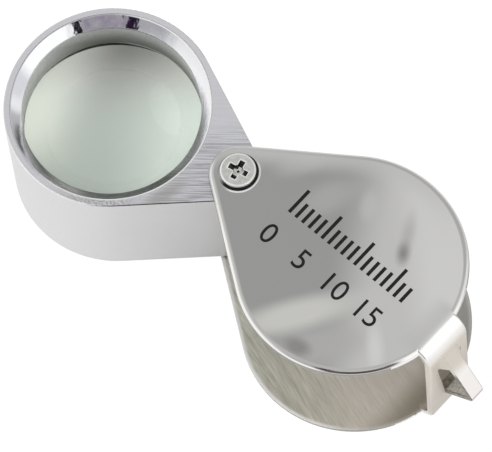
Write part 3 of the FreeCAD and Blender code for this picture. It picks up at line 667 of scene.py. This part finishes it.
def cover_steel():
    """Polished outside with the slight waves of pressed sheet, brushed inside."""
    material, tree, shader = surface("cover_steel", Metallic=1.0)
    at = CoverPlaces(tree)
    colour = blend(tree, at.inside, cover_outside_colour(tree, at), cover_inside_colour(tree, at))
    # The cut edge: duller cut steel, darkened further by painted shade
    cut_edge = product(tree, less(tree, at.depth, CUT_DEPTH), less(tree, at.across, CUT_END))
    colour = blend(tree, cut_edge, colour, CUT_COLOUR)
    # Painted highlight along the open edge of the lower cheek, on the left
    open_edge_highlight = product(tree, at.within, (at.depth, OPEN_DEPTH), (at.aside, OPEN_TURN))
    colour = blend(tree, open_edge_highlight, colour, OPEN_HIGHLIGHT_COLOUR)
    # Painted shade in the seat round the screw's head, on the side where the seat shows
    seat_shade = product(tree, less(tree, at.out, SEAT_RADIUS), less(tree, at.height, COVER_TOP - SEAT_DEPTH),
                   more(tree, at.height, MIDDLE), ramp(tree, at.to_pull, *SEAT_SHADE_PULL))
    satin = largest(tree, product(tree, at.burr, BURR_SATIN), product(tree, at.on_face, FACE_SATIN),
                    open_edge_highlight, product(tree, at.within, WITHIN_SATIN))
    lines = streaks(tree, at.place, *CHEEK_LINES)
    rough = scaled(tree, cloud(tree, at.place, 5.0, seed=0.1), *ROUGH_OUTSIDE)
    rough = blend_value(tree, at.on_spine, rough, ROUGH_SPINE)
    wire(tree, shader, Metallic=maths(tree, "SUBTRACT", 1.0, satin),
         Base_Color=blend(tree, seat_shade, colour, SEAT_SHADE_COLOUR),
         Roughness=blend_value(tree, at.inside, rough, scaled(tree, lines, *ROUGH_INSIDE)),
         Normal=cover_relief(tree, at, lines))
    return material


RECESS_TURN = math.radians(12.0)
RECESS_HALF, SLOT_HALF = 1.25 * MM, 0.33 * MM
RECESS_REACH, RECESS_HIGHLIGHT_WIDTH = 1.5 * MM, 0.12 * MM
SUNK_FROM, SUNK_TO = 0.05 * MM, 0.60 * MM
LIT_RECESS_OUT, LIT_RECESS_AWAY = (0.60, 0.85, 1.0, 0.0), (-0.05, 0.30, 1.0, 0.0)
PIT_RADIUS = 0.17 * MM
HEAD_RIM, HEAD_LOW, HEAD_FLAT = (1.84, 1.92), 0.25 * MM, 0.03 * MM
SCREW_DIM, SCREW_BRIGHT = (0.72, 0.72, 0.69, 1), (0.90, 0.90, 0.87, 1)
SCREW_HIGHLIGHT, RECESS_SHADE_COLOUR = (0.98, 0.98, 0.96, 1), (0.05, 0.05, 0.045, 1)
RECESS_SHADE_ROUGHNESS, SCREW_ROUGHNESS, SCREW_HIGHLIGHT_SATIN = 0.45, (0.16, 0.24), 0.6


def screw_steel():
    """Bright screw with painted shade in its recess and painted highlights on its head."""
    material, tree, shader = surface("pivot_steel", Metallic=1.0)
    place = part_place(tree)
    height = xyz(tree, place)[2]
    out = from_axis(tree, place, PIVOT_AXIS)
    offset = vector_maths(tree, "SUBTRACT", place, PIVOT_AXIS)
    fine = cloud(tree, place, 0.5)
    steel = blend(tree, scaled(tree, fine, 0, 1), SCREW_DIM, SCREW_BRIGHT)
    below_top = less(tree, height, SCREW_HIGH.z - SUNK_FROM)
    sunk = product(tree, below_top, more(tree, height, SCREW_HIGH.z - SUNK_TO))
    # Painted shade in the recess and at its centre, except on its lit part
    recess = product(tree, sunk, less(tree, out, RECESS_REACH))
    lit_recess = product(tree, (out, LIT_RECESS_OUT), (dot(tree, offset, HORIZON), LIT_RECESS_AWAY))
    recess = maths(tree, "SUBTRACT", recess, lit_recess, clamp=True)
    recess_shade = largest(tree, recess, product(tree, less(tree, out, PIT_RADIUS), below_top))
    # Painted highlights: bright along the head's rim and round the recess
    arm = Vector((math.cos(RECESS_TURN), math.sin(RECESS_TURN), 0))
    one = maths(tree, "ABSOLUTE", dot(tree, offset, arm))
    other = maths(tree, "ABSOLUTE", dot(tree, offset, Vector((-arm.y, arm.x, 0))))
    round_recess = product(tree, less(tree, largest(tree, one, other), RECESS_HALF + RECESS_HIGHLIGHT_WIDTH),
                           less(tree, maths(tree, "MINIMUM", one, other), SLOT_HALF + RECESS_HIGHLIGHT_WIDTH),
                           more(tree, height, SCREW_HIGH.z - HEAD_FLAT))
    head_rim = product(tree, (out, HEAD_RIM), more(tree, height, COVER_TOP + HEAD_LOW))
    wear_and_highlight = largest(tree, head_rim, round_recess)
    steel = blend(tree, wear_and_highlight, steel, SCREW_HIGHLIGHT)
    wire(tree, shader, Base_Color=blend(tree, recess_shade, steel, RECESS_SHADE_COLOUR),
         Roughness=blend_value(tree, recess_shade, scaled(tree, fine, *SCREW_ROUGHNESS), RECESS_SHADE_ROUGHNESS),
         Metallic=maths(tree, "MULTIPLY_ADD", wear_and_highlight, -SCREW_HIGHLIGHT_SATIN, 1.0), Normal=bump(tree, fine, 0.008))
    return material


BRASS_DIM, BRASS_BRIGHT = (0.6336, 0.4928, 0.264, 1), (0.72, 0.56, 0.30, 1)
BRASS_ROUGHNESS = (0.224, 0.35)


def washer_brass():
    """Stamped brass with a faint uneven polish."""
    material, tree, shader = surface("washer_brass", Metallic=1.0)
    place = part_place(tree)
    polish = scaled(tree, cloud(tree, place, 1.2, seed=0.4), 0, 1)
    fine = cloud(tree, place, 0.5, seed=0.4)
    wire(tree, shader, Base_Color=blend(tree, polish, BRASS_DIM, BRASS_BRIGHT),
         Roughness=scaled(tree, fine, *BRASS_ROUGHNESS), Normal=bump(tree, fine, 0.004))
    return material


# The holder and the rings, with their painted reflection patches placed from the lens axis

FLAT_FACING, ROUNDED_FACING, CHAMFER_FACING = (0.9, 0.99), (0.45, 0.985), (0.12, 0.97)
CHAMFER_ANGLE = math.radians(52.0)      # of the holder's edges, from level
CHAMFER_ROUGHNESS = 0.10
END_LINES = (40.0, 0.13, 5.0)
LINES_OUT, LINES_BACK, LINES_CORE = (4.0, 14.0, 0.85, 0.25), (-7.5, -3.5, 1.0, 0.3), (0.36, 0.64)
END_LIGHT, END_DARK = (0.94, 0.94, 0.985, 1), (0.62, 0.62, 0.655, 1)
DEEP_BACK, DEEP_RIGHT, DEEP_CORE = (-8.0, -3.5, 0.42, 0.0), (2.0, 6.0), (0.46, 0.62)
DEEP_COLOUR = (0.33, 0.33, 0.34, 1)
SIDE_DARK, SIDE_LIGHT = (0.78, 0.78, 0.78, 1), (0.84, 0.84, 0.84, 1)
SIDE_LEFT, SIDE_LEFT_SHADE_COLOUR = (-2.0, 13.0, 0.8, 0.0), (0.71, 0.71, 0.71, 1)
# Painted reflections: darker patches on the holder's ends
HOLDER_REFLECTION_SPOTS = (
    ((5.0, -11.8), 25.0, 9.0, 2.6, 0.2, 0.9, (0.60, 0.605, 0.59, 1)),
    ((-6.0, -10.8), -30.0, 8.0, 2.2, 0.2, 0.5, (0.72, 0.725, 0.71, 1)),
)
NEAR_EDGE, SPECK_RIGHT, SPECK_COLOUR = (-11.8, -9.5, 1.0, 0.0), (-1.0, 3.5, 1.0, 0.0), (0.42, 0.42, 0.41, 1)
DARK_REFLECTION_RIGHT, DARK_REFLECTION_COLOUR = (-4.0, 1.0), (0.06, 0.06, 0.06, 1)
LIT_LINE_RIGHT, LIT_LINE_BACK, LIT_LINE_SATIN = (-5.0, -3.0, 1.0, 0.0), (-4.0, 0.0, 1.0, 0.0), 0.85
ROUGH_END, ROUGH_SIDE = (0.24, 0.36), (0.30, 0.36)


def between(tree, value, low, high):
    return product(tree, more(tree, value, low), less(tree, value, high))


def chamfer_normal(tree, normal):
    """The normal of a narrow polished chamfer, for the thin rounding round each end."""
    outward = vector_maths(tree, "NORMALIZE", level_part(tree, normal))
    slant = vector_scale(tree, outward, math.sin(CHAMFER_ANGLE))
    sign = maths(tree, "SIGN", xyz(tree, normal)[2])
    lifted = add(tree, "CombineXYZ", {"Z": product(tree, sign, math.cos(CHAMFER_ANGLE))}).outputs[0]
    return add(tree, "VectorTransform", {0: vector_maths(tree, "ADD", slant, lifted)},
               vector_type="NORMAL", convert_from="OBJECT", convert_to="WORLD").outputs[0]


def holder_aluminium():
    """Brushed on its flat ends, satin round its side, with painted reflections, shade and highlight."""
    material, tree, shader = surface("holder_aluminium", Metallic=1.0)
    place = part_place(tree)
    normal = add(tree, "TexCoord").outputs["Normal"]
    facing = maths(tree, "ABSOLUTE", xyz(tree, normal)[2])
    flat = ramp(tree, facing, *FLAT_FACING)
    offset, back, right = from_lens(tree, place)
    # The brushing is plainest beside the pivot, on the camera's side
    lines = streaks(tree, place, *END_LINES)
    plain = product(tree, (from_axis(tree, place, PIVOT_AXIS), LINES_OUT), (back, LINES_BACK))
    end = blend(tree, product(tree, ramp(tree, lines, *LINES_CORE), plain), END_LIGHT, END_DARK)
    end = with_spots(tree, offset, end, HOLDER_REFLECTION_SPOTS)
    deep = product(tree, (back, DEEP_BACK), (right, DEEP_RIGHT), ramp(tree, lines, *DEEP_CORE))
    end = blend(tree, deep, end, DEEP_COLOUR)
    near = span(tree, back, *NEAR_EDGE)
    speck = product(tree, scaled(tree, cloud(tree, place, 0.3), -0.3, 0.9), near, (right, SPECK_RIGHT))
    end = blend(tree, speck, end, SPECK_COLOUR)
    side = blend(tree, cloud(tree, place, 6.0), SIDE_DARK, SIDE_LIGHT)
    # Painted shade on the left of its side
    side = blend(tree, (right, SIDE_LEFT), side, SIDE_LEFT_SHADE_COLOUR)
    colour = blend(tree, flat, side, end)
    # A painted dark reflection runs along the near edge on the right, and a painted highlight, a bright line,
    # on the left
    rounding = between(tree, facing, *ROUNDED_FACING)
    dark_reflection = product(tree, rounding, (right, DARK_REFLECTION_RIGHT), near)
    colour = blend(tree, dark_reflection, colour, DARK_REFLECTION_COLOUR)
    wear_and_highlight = product(tree, rounding, (right, LIT_LINE_RIGHT), (back, LIT_LINE_BACK))
    rough_side = scaled(tree, cloud(tree, place, 0.6), *ROUGH_SIDE)
    rough = blend_value(tree, flat, rough_side, scaled(tree, lines, *ROUGH_END))
    level = bump(tree, product(tree, lines, plain, flat), 0.008)
    on_edge = between(tree, facing, *CHAMFER_FACING)
    wire(tree, shader, Base_Color=blend(tree, wear_and_highlight, colour, WHITE),
         Metallic=maths(tree, "MULTIPLY_ADD", wear_and_highlight, -LIT_LINE_SATIN, 1.0),
         Roughness=blend_value(tree, on_edge, rough, CHAMFER_ROUGHNESS),
         Normal=blend_vector(tree, on_edge, level, chamfer_normal(tree, normal)))
    return material


RING_DARK, RING_LIGHT = (0.84, 0.84, 0.87, 1), (0.90, 0.90, 0.92, 1)
SHADE_BACK, SHADE_LEFT, SHADE_RIGHT = (-11.0, -5.0, 0.75, 0.0), (-7.0, -1.0), (4.0, 9.0, 1.0, 0.1)
SHADE_COLOUR = (0.38, 0.40, 0.38, 1)
# Painted reflections: light and dark patches on the ring
RING_REFLECTION_SPOTS = (
    ((-6.5, -9.4), -30.0, 6.0, 2.6, 0.3, 1.0, (1.0, 1.0, 1.0, 1)),
    ((4.6, -9.6), 28.0, 6.0, 2.4, 0.2, 0.6, (0.25, 0.27, 0.25, 1)),
    ((-10.9, -2.4), 104.0, 5.0, 3.0, 0.1, 0.6, (0.58, 0.59, 0.58, 1)),
)
# Painted reflection: a mottled violet patch on the far side of the ring
VIOLET_REFLECTION_SPOT, VIOLET_REFLECTION_COLOUR = ((0.6, 11.0), 0.0, 8.5, 5.0, 0.6), (0.64, 0.58, 0.70, 1)
# Painted reflection: a grainy grey patch on the near left of the ring
MOTTLED_REFLECTION_SPOT, MOTTLED_REFLECTION_COLOUR = ((-8.0, -7.6), -43.0, 7.0, 3.0, 0.5), (0.55, 0.57, 0.55, 1)
DULL_SPOT, DULL_SHARE = ((-6.3, -9.0), -33.0, 7.0, 3.0, 0.3), 0.22
EDGE_START, EDGE_WHOLE, EDGE_SATIN = 0.24 * MM, 0.14 * MM, 0.85
EDGE_RIGHT, EDGE_BACK, EDGE_LEFT = (1.0, 5.0), (-7.0, -4.0, 1.0, 0.0), (-11.0, -7.0)
MARK_WIDTH, MARKS_ROUND = 0.09 * MM, 9.0
MARKS_RIGHT, MARKS_BACK = (-2.0, 9.0, 0.25, 1.0), (-2.0, 6.0, 1.0, 0.25)
WAVES_BACK = (5.0, 9.0, 1.0, 4.0)


def ring_chrome():
    """Polished chrome, turned, with painted reflections and a painted highlight along its edge."""
    material, tree, shader = surface("ring_chrome", Metallic=1.0)
    place = part_place(tree)
    offset, back, right = from_lens(tree, place)
    shade = blend(tree, cloud(tree, place, 3.0), RING_DARK, RING_LIGHT)
    near = product(tree, (back, SHADE_BACK), (right, SHADE_LEFT), (right, SHADE_RIGHT))
    shade = blend(tree, near, shade, SHADE_COLOUR)
    shade = with_spots(tree, offset, shade, RING_REFLECTION_SPOTS)
    # Painted reflection, mottled violet, on the far side
    violet_reflection = product(tree, scaled(tree, cloud(tree, place, 0.9, detail=3.0, seed=0.6), 0.1, 1.0),
                     spot(tree, offset, *VIOLET_REFLECTION_SPOT))
    shade = blend(tree, violet_reflection, shade, VIOLET_REFLECTION_COLOUR)
    # Painted reflection, grainy grey, on the near left
    grain = scaled(tree, cloud(tree, place, 0.25), -0.4, 0.9)
    mottled_reflection = product(tree, grain, spot(tree, offset, *MOTTLED_REFLECTION_SPOT))
    shade = blend(tree, mottled_reflection, shade, MOTTLED_REFLECTION_COLOUR)
    # A painted highlight, a bright line along its edge, on the right and on the near side
    radius = from_axis(tree, place, LENS_AXIS)
    on_near = product(tree, (back, EDGE_BACK), (right, EDGE_LEFT))
    edge_highlight = product(tree, ramp(tree, radius, RING_EDGE - EDGE_START, RING_EDGE - EDGE_WHOLE),
                   largest(tree, (right, EDGE_RIGHT), on_near))
    satin = largest(tree, product(tree, spot(tree, offset, *DULL_SPOT), DULL_SHARE),
                    product(tree, edge_highlight, EDGE_SATIN))
    # Fine turning marks that run round the ring, plainest on its near right, over soft waves
    angle = maths(tree, "ARCTAN2", back, right)
    marks_at = add(tree, "CombineXYZ", {"X": maths(tree, "DIVIDE", radius, MARK_WIDTH),
                   "Y": product(tree, angle, MARKS_ROUND)}).outputs[0]
    marks = add(tree, "TexNoise", {"Vector": marks_at, "Scale": 1.0, "Detail": 3.0}).outputs["Fac"]
    marks = product(tree, marks, (right, MARKS_RIGHT), (back, MARKS_BACK))
    waves = product(tree, cloud(tree, place, 1.3, seed=0.2), (back, WAVES_BACK))
    wire(tree, shader, Base_Color=blend(tree, edge_highlight, shade, WHITE),
         Metallic=maths(tree, "SUBTRACT", 1.0, satin),
         Roughness=scaled(tree, cloud(tree, place, 0.8), 0.05, 0.09),
         Normal=bump(tree, marks, 0.012, bump(tree, waves, 0.010)))
    return material


WALL_DARK, WALL_LIGHT = (0.43, 0.45, 0.40, 1), (1.0, 1.0, 1.0, 1)
CELL_DARK, CELL_LIGHT = (0.50, 0.51, 0.50, 1), (0.62, 0.63, 0.62, 1)
OPEN_END, OPEN_SHARE, WALL_LIT_LEFT = (3.0, 7.4), 0.9, (-8.5, 0.0, 1.0, 0.0)
LIT_EDGE_HEIGHT, LIT_EDGE_RIGHT, LIT_EDGE_BACK = 0.2 * MM, (0.5, 4.0), (-4.0, 0.0)
MATT_METALLIC, MATT_ROUGHNESS = 0.6, (0.42, 0.58)


def matt_metal(name, dark, light):
    """Bead-blasted inner wall, with painted light: lighter toward its open end and toward one side."""
    material, tree, shader = surface(name, Metallic=MATT_METALLIC)
    place = part_place(tree)
    grain = cloud(tree, place, 0.35, detail=3.0)
    depth = maths(tree, "ABSOLUTE", maths(tree, "SUBTRACT", xyz(tree, place)[2], MIDDLE))
    _, back, right = from_lens(tree, place)
    share = largest(tree, product(tree, (depth, OPEN_END), OPEN_SHARE), (right, WALL_LIT_LEFT))
    shade = blend(tree, product(tree, share, scaled(tree, grain, 0.8, 1.1)), dark, light)
    # A painted highlight on its edge at the glass, bright on the far right
    lit_edge = product(tree, less(tree, depth, SPACER_FOOT - MIDDLE + LIT_EDGE_HEIGHT),
                     (right, LIT_EDGE_RIGHT), (back, LIT_EDGE_BACK))
    wire(tree, shader, Base_Color=blend(tree, lit_edge, shade, WHITE),
         Metallic=maths(tree, "MULTIPLY_ADD", lit_edge, -MATT_METALLIC, MATT_METALLIC),
         Roughness=scaled(tree, grain, *MATT_ROUGHNESS), Normal=bump(tree, grain, 0.006))
    return material


VALLEY_LEAN, VALLEY_SHIFT = 0.52, 1.0 * MM
SHADE_VALLEY, RIGHT_SIDE = (1.0, 11.0, 0.52, 0.215), (0.0, 9.0, 0.86, 0.60)
LEFT_NEAR, LEFT_FAR = (-8.0, 2.0, 0.51, 0.82), (4.0, 10.5, 1.0, 0.68)
TO_LEFT, TO_RIGHT = (-9.5, -1.4, 1.0, 0.0), (-1.0, 11.5)
RIGHT_SHIFT = (-8.0, 6.0, -2.0 * MM, 0.5 * MM)
NEAR_LEVEL = (-9.0, 0.0, 0.90, 1.0)
CAST_BACK, CAST_NEAR, CAST_FAR = (1.0, 8.0), (0.895, 1.0, 0.905, 1), (0.98, 1.0, 0.93, 1)
LEFTMOST, LEFTMOST_BACK, CAST_LEFT = (-8.0, -3.0, 1.0, 0.0), (-5.0, 0.0), (0.945, 1.0, 0.885, 1)
GROUND_COLOUR, GROUND_ROUGHNESS, GLASS_ROUGHNESS = (0.16, 0.165, 0.155, 1), 0.7, (0.02, 0.05)


def lens_glass():
    """Coated glass, faintly green, with painted shade across it and a ground edge."""
    material, tree, shader = surface("lens_glass", IOR=1.52)
    place = part_place(tree)
    _, back, right = from_lens(tree, place)
    # Painted shade: the grey valley runs from the far right of the lens to its near left
    leaning = maths(tree, "MULTIPLY_ADD", back, -VALLEY_LEAN, maths(tree, "ADD", right, VALLEY_SHIFT))
    left_side = product(tree, (back, LEFT_NEAR), (back, LEFT_FAR))
    level = blend_value(tree, (leaning, TO_LEFT), (back, SHADE_VALLEY), left_side)
    turning = maths(tree, "ADD", leaning, span(tree, back, *RIGHT_SHIFT))
    level = blend_value(tree, (turning, TO_RIGHT), level, (back, RIGHT_SIDE))
    level = product(tree, level, (back, NEAR_LEVEL))
    cast = blend(tree, (back, CAST_BACK), CAST_NEAR, CAST_FAR)
    leftmost = product(tree, (right, LEFTMOST), (back, LEFTMOST_BACK))
    tint_and_shade = vector_scale(tree, blend(tree, leftmost, cast, CAST_LEFT), level)
    ground = more(tree, from_axis(tree, place, LENS_AXIS), RIM_RADIUS - SLACK)
    smooth = scaled(tree, cloud(tree, place, 4.0), *GLASS_ROUGHNESS)
    wire(tree, shader, Base_Color=blend(tree, ground, tint_and_shade, GROUND_COLOUR),
         Transmission_Weight=maths(tree, "SUBTRACT", 1.0, ground),
         Roughness=blend_value(tree, ground, smooth, GROUND_ROUGHNESS))
    return material


INK_DARK, INK_THIN, INK_ROUGHNESS = 0.008, 0.016, (0.40, 0.55)


def ink():
    """Black printed marking, slightly thin in places."""
    material, tree, shader = surface("ink", Specular_IOR_Level=0.25)
    wear_and_highlight = cloud(tree, part_place(tree), 0.4, detail=3.0)
    printed = blend(tree, scaled(tree, wear_and_highlight, 0, 1), grey(INK_DARK), grey(INK_THIN))
    rough = scaled(tree, wear_and_highlight, *INK_ROUGHNESS)
    wire(tree, shader, Base_Color=printed, Roughness=rough, Normal=bump(tree, wear_and_highlight, 0.003))
    return material


def dress(thing, material):
    """Give an object one material."""
    thing.data.materials.clear()
    thing.data.materials.append(material)


# Turned pieces

TURNS = 192
ROUND_STEPS = 4
SHARP_ANGLE = math.radians(28)


def lens_radius(vertex):
    """How far a vertex of a mesh is from the lens axis."""
    return (vertex.co.xy - LENS_AXIS.xy).length


def corner(before, at, after, radius):
    """Points of a small rounding at one corner of a profile."""
    to_before = (Vector(before) - Vector(at)).normalized()
    to_after = (Vector(after) - Vector(at)).normalized()
    half = to_before.angle(to_after) / 2
    reach = radius / math.tan(half)
    start, end = Vector(at) + to_before * reach, Vector(at) + to_after * reach
    centre = Vector(at) + (to_before + to_after).normalized() * (radius / math.sin(half))
    first, last = start - centre, end - centre
    sweep = first.angle_signed(last)
    points = []
    for step in range(ROUND_STEPS + 1):
        angle = -sweep * step / ROUND_STEPS
        cosine, sine = math.cos(angle), math.sin(angle)
        points.append(centre + Vector((first.x * cosine - first.y * sine, first.x * sine + first.y * cosine)))
    return points


def turned(name, profile, body, slot_name, closed=True):
    """A piece turned about the lens axis from a profile of (radius, height) points."""
    maker = bmesh.new()
    rings = []
    for radius, height in profile:
        if radius == 0:
            rings.append([maker.verts.new((LENS_AXIS.x, LENS_AXIS.y, height))])
            continue
        ring = []
        for turn in range(TURNS):
            angle = 2 * math.pi * turn / TURNS
            ring.append(maker.verts.new((LENS_AXIS.x + radius * math.cos(angle),
                                         LENS_AXIS.y + radius * math.sin(angle), height)))
        rings.append(ring)
    following = rings[1:] + rings[:1] if closed else rings[1:]
    for lower, upper in zip(rings, following):
        for turn in range(TURNS):
            other = (turn + 1) % TURNS
            corners = [lower[turn % len(lower)], lower[other % len(lower)],
                       upper[other % len(upper)], upper[turn % len(upper)]]
            unique = list(dict.fromkeys(corners))
            if len(unique) > 2:
                maker.faces.new(unique)
    bmesh.ops.recalc_face_normals(maker, faces=maker.faces)
    mesh = bpy.data.meshes.new(name)
    maker.to_mesh(mesh)
    maker.free()
    for face in mesh.polygons:
        face.use_smooth = True
    mesh.set_sharp_from_angle(angle=SHARP_ANGLE)
    piece = new_object(name, mesh)
    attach(piece, body)
    return piece


RING_LAND = 0.12 * MM
RING_ROUND = 0.05 * MM


def ring_profile(top, foot):
    """Cross-section of a bevelled ring whose wide side is at the height top."""
    vertices = NODES["eye_ring"].data.vertices
    inner = min(lens_radius(vertex) for vertex in vertices)
    lip_top = max(vertex.co.z for vertex in vertices if lens_radius(vertex) < inner + SLACK / 2)
    lip = foot + math.copysign(lip_top - RING_LOW.z, top - foot)
    sharp = [(RING_EDGE, foot), (RING_EDGE, top), (RING_EDGE - RING_LAND, top), (inner, lip), (inner, foot)]
    points = []
    for index, at in enumerate(sharp):
        before, after = sharp[index - 1], sharp[(index + 1) % len(sharp)]
        points.extend(corner(before, at, after, RING_ROUND))
    return [(point.x, point.y) for point in points]


def make_rings(material):
    eye = turned("eye_ring_turned", ring_profile(RING_HIGH.z, RING_LOW.z), "holder", "ring_chrome")
    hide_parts("eye_ring")
    low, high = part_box("object_ring")
    far = turned("object_ring_turned", ring_profile(low.z, high.z), "holder", "ring_chrome")
    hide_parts("object_ring")
    for piece in (eye, far):
        dress(piece, material)


LENS_STEPS = 24


def make_lens(material):
    """The three cemented lenses as one clear body with its two curved faces."""
    crown, foot = GLASS_HIGH.z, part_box("object_element")[0].z
    centre = (crown + foot) / 2
    rim_height = max(vertex.co.z for vertex in NODES["eye_element"].data.vertices
                     if lens_radius(vertex) > RIM_RADIUS - SLACK / 2)
    drop = crown - rim_height
    curve = (RIM_RADIUS ** 2 + drop ** 2) / (2 * drop)
    upper = []
    for step in range(LENS_STEPS + 1):
        radius = RIM_RADIUS * step / LENS_STEPS
        upper.append((radius, crown - curve + math.sqrt(curve ** 2 - radius ** 2)))
    lower = [(radius, 2 * centre - height) for radius, height in reversed(upper)]
    lens = turned("lens_body", upper + lower, "holder", "lens_glass", closed=False)
    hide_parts("eye_element", "centre_element", "object_element")
    dress(lens, material)


# Marking on the cover: a plain millimetre scale

INK_THICKNESS = 0.02 * MM
SCALE_START = -9.6 * MM
SCALE_LINE = 0.1 * MM
SCALE_STEPS = 17
STEP = 1.0 * MM
LONG_EVERY = 5
LONG_TICK, SHORT_TICK = 3.5 * MM, 2.1 * MM
TICK_WIDTH = 0.42 * MM
NUMBER_HEIGHT = 2.65 * MM
FONT_SIZE_SHARE = 1.37          # of the height of a number
NUMBER_TOP = -1.7 * MM


def make_ticks(material):
    maker = bmesh.new()
    half = TICK_WIDTH / 2
    for step in range(SCALE_STEPS + 1):
        along = SCALE_START + STEP * step
        tall = LONG_TICK if step % LONG_EVERY == 0 else SHORT_TICK
        outline = [(along - half, SCALE_LINE), (along + half, SCALE_LINE),
                   (along + half, SCALE_LINE + tall), (along - half, SCALE_LINE + tall)]
        low = [maker.verts.new((x, y, COVER_TOP)) for x, y in outline]
        high = [maker.verts.new((x, y, COVER_TOP + INK_THICKNESS)) for x, y in outline]
        maker.faces.new(high)
        maker.faces.new(list(reversed(low)))
        for index in range(len(low)):
            after = (index + 1) % len(low)
            maker.faces.new([low[index], low[after], high[after], high[index]])
    mesh = bpy.data.meshes.new("scale_ticks")
    maker.to_mesh(mesh)
    maker.free()
    ticks = new_object("scale_ticks", mesh)
    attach(ticks, "cover")
    dress(ticks, material)


def make_numbers(material):
    for step in range(0, SCALE_STEPS + 1, LONG_EVERY):
        words = bpy.data.curves.new(f"scale_number_{step}", "FONT")
        words.body = str(step)
        words.align_x = "CENTER"
        words.align_y = "TOP"
        words.size = NUMBER_HEIGHT * FONT_SIZE_SHARE
        words.extrude = INK_THICKNESS / 2
        number = new_object(f"scale_number_{step}", words)
        number.location = (SCALE_START + STEP * step, NUMBER_TOP, COVER_TOP + INK_THICKNESS / 2)
        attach(number, "cover")
        dress(number, material)


def main():
    bpy.context.scene.view_settings.view_transform = "Standard"
    make_camera()
    make_world()
    make_floor()
    make_lamp()
    steel = cover_steel()
    bright = screw_steel()
    wall = matt_metal("spacer_aluminium", WALL_DARK, WALL_LIGHT)
    finishes = {
        "cover": steel, "pivot_post": bright, "pivot_screw": bright, "spring_washer": bright,
        "friction_washer": washer_brass(), "lens_holder": holder_aluminium(),
        "lens_cell": matt_metal("cell_aluminium", CELL_DARK, CELL_LIGHT),
        "eye_spacer": wall, "object_spacer": wall,
    }
    for name, material in finishes.items():
        dress(NODES[name], material)
    make_rings(ring_chrome())
    make_lens(lens_glass())
    black = ink()
    make_ticks(black)
    make_numbers(black)


main()
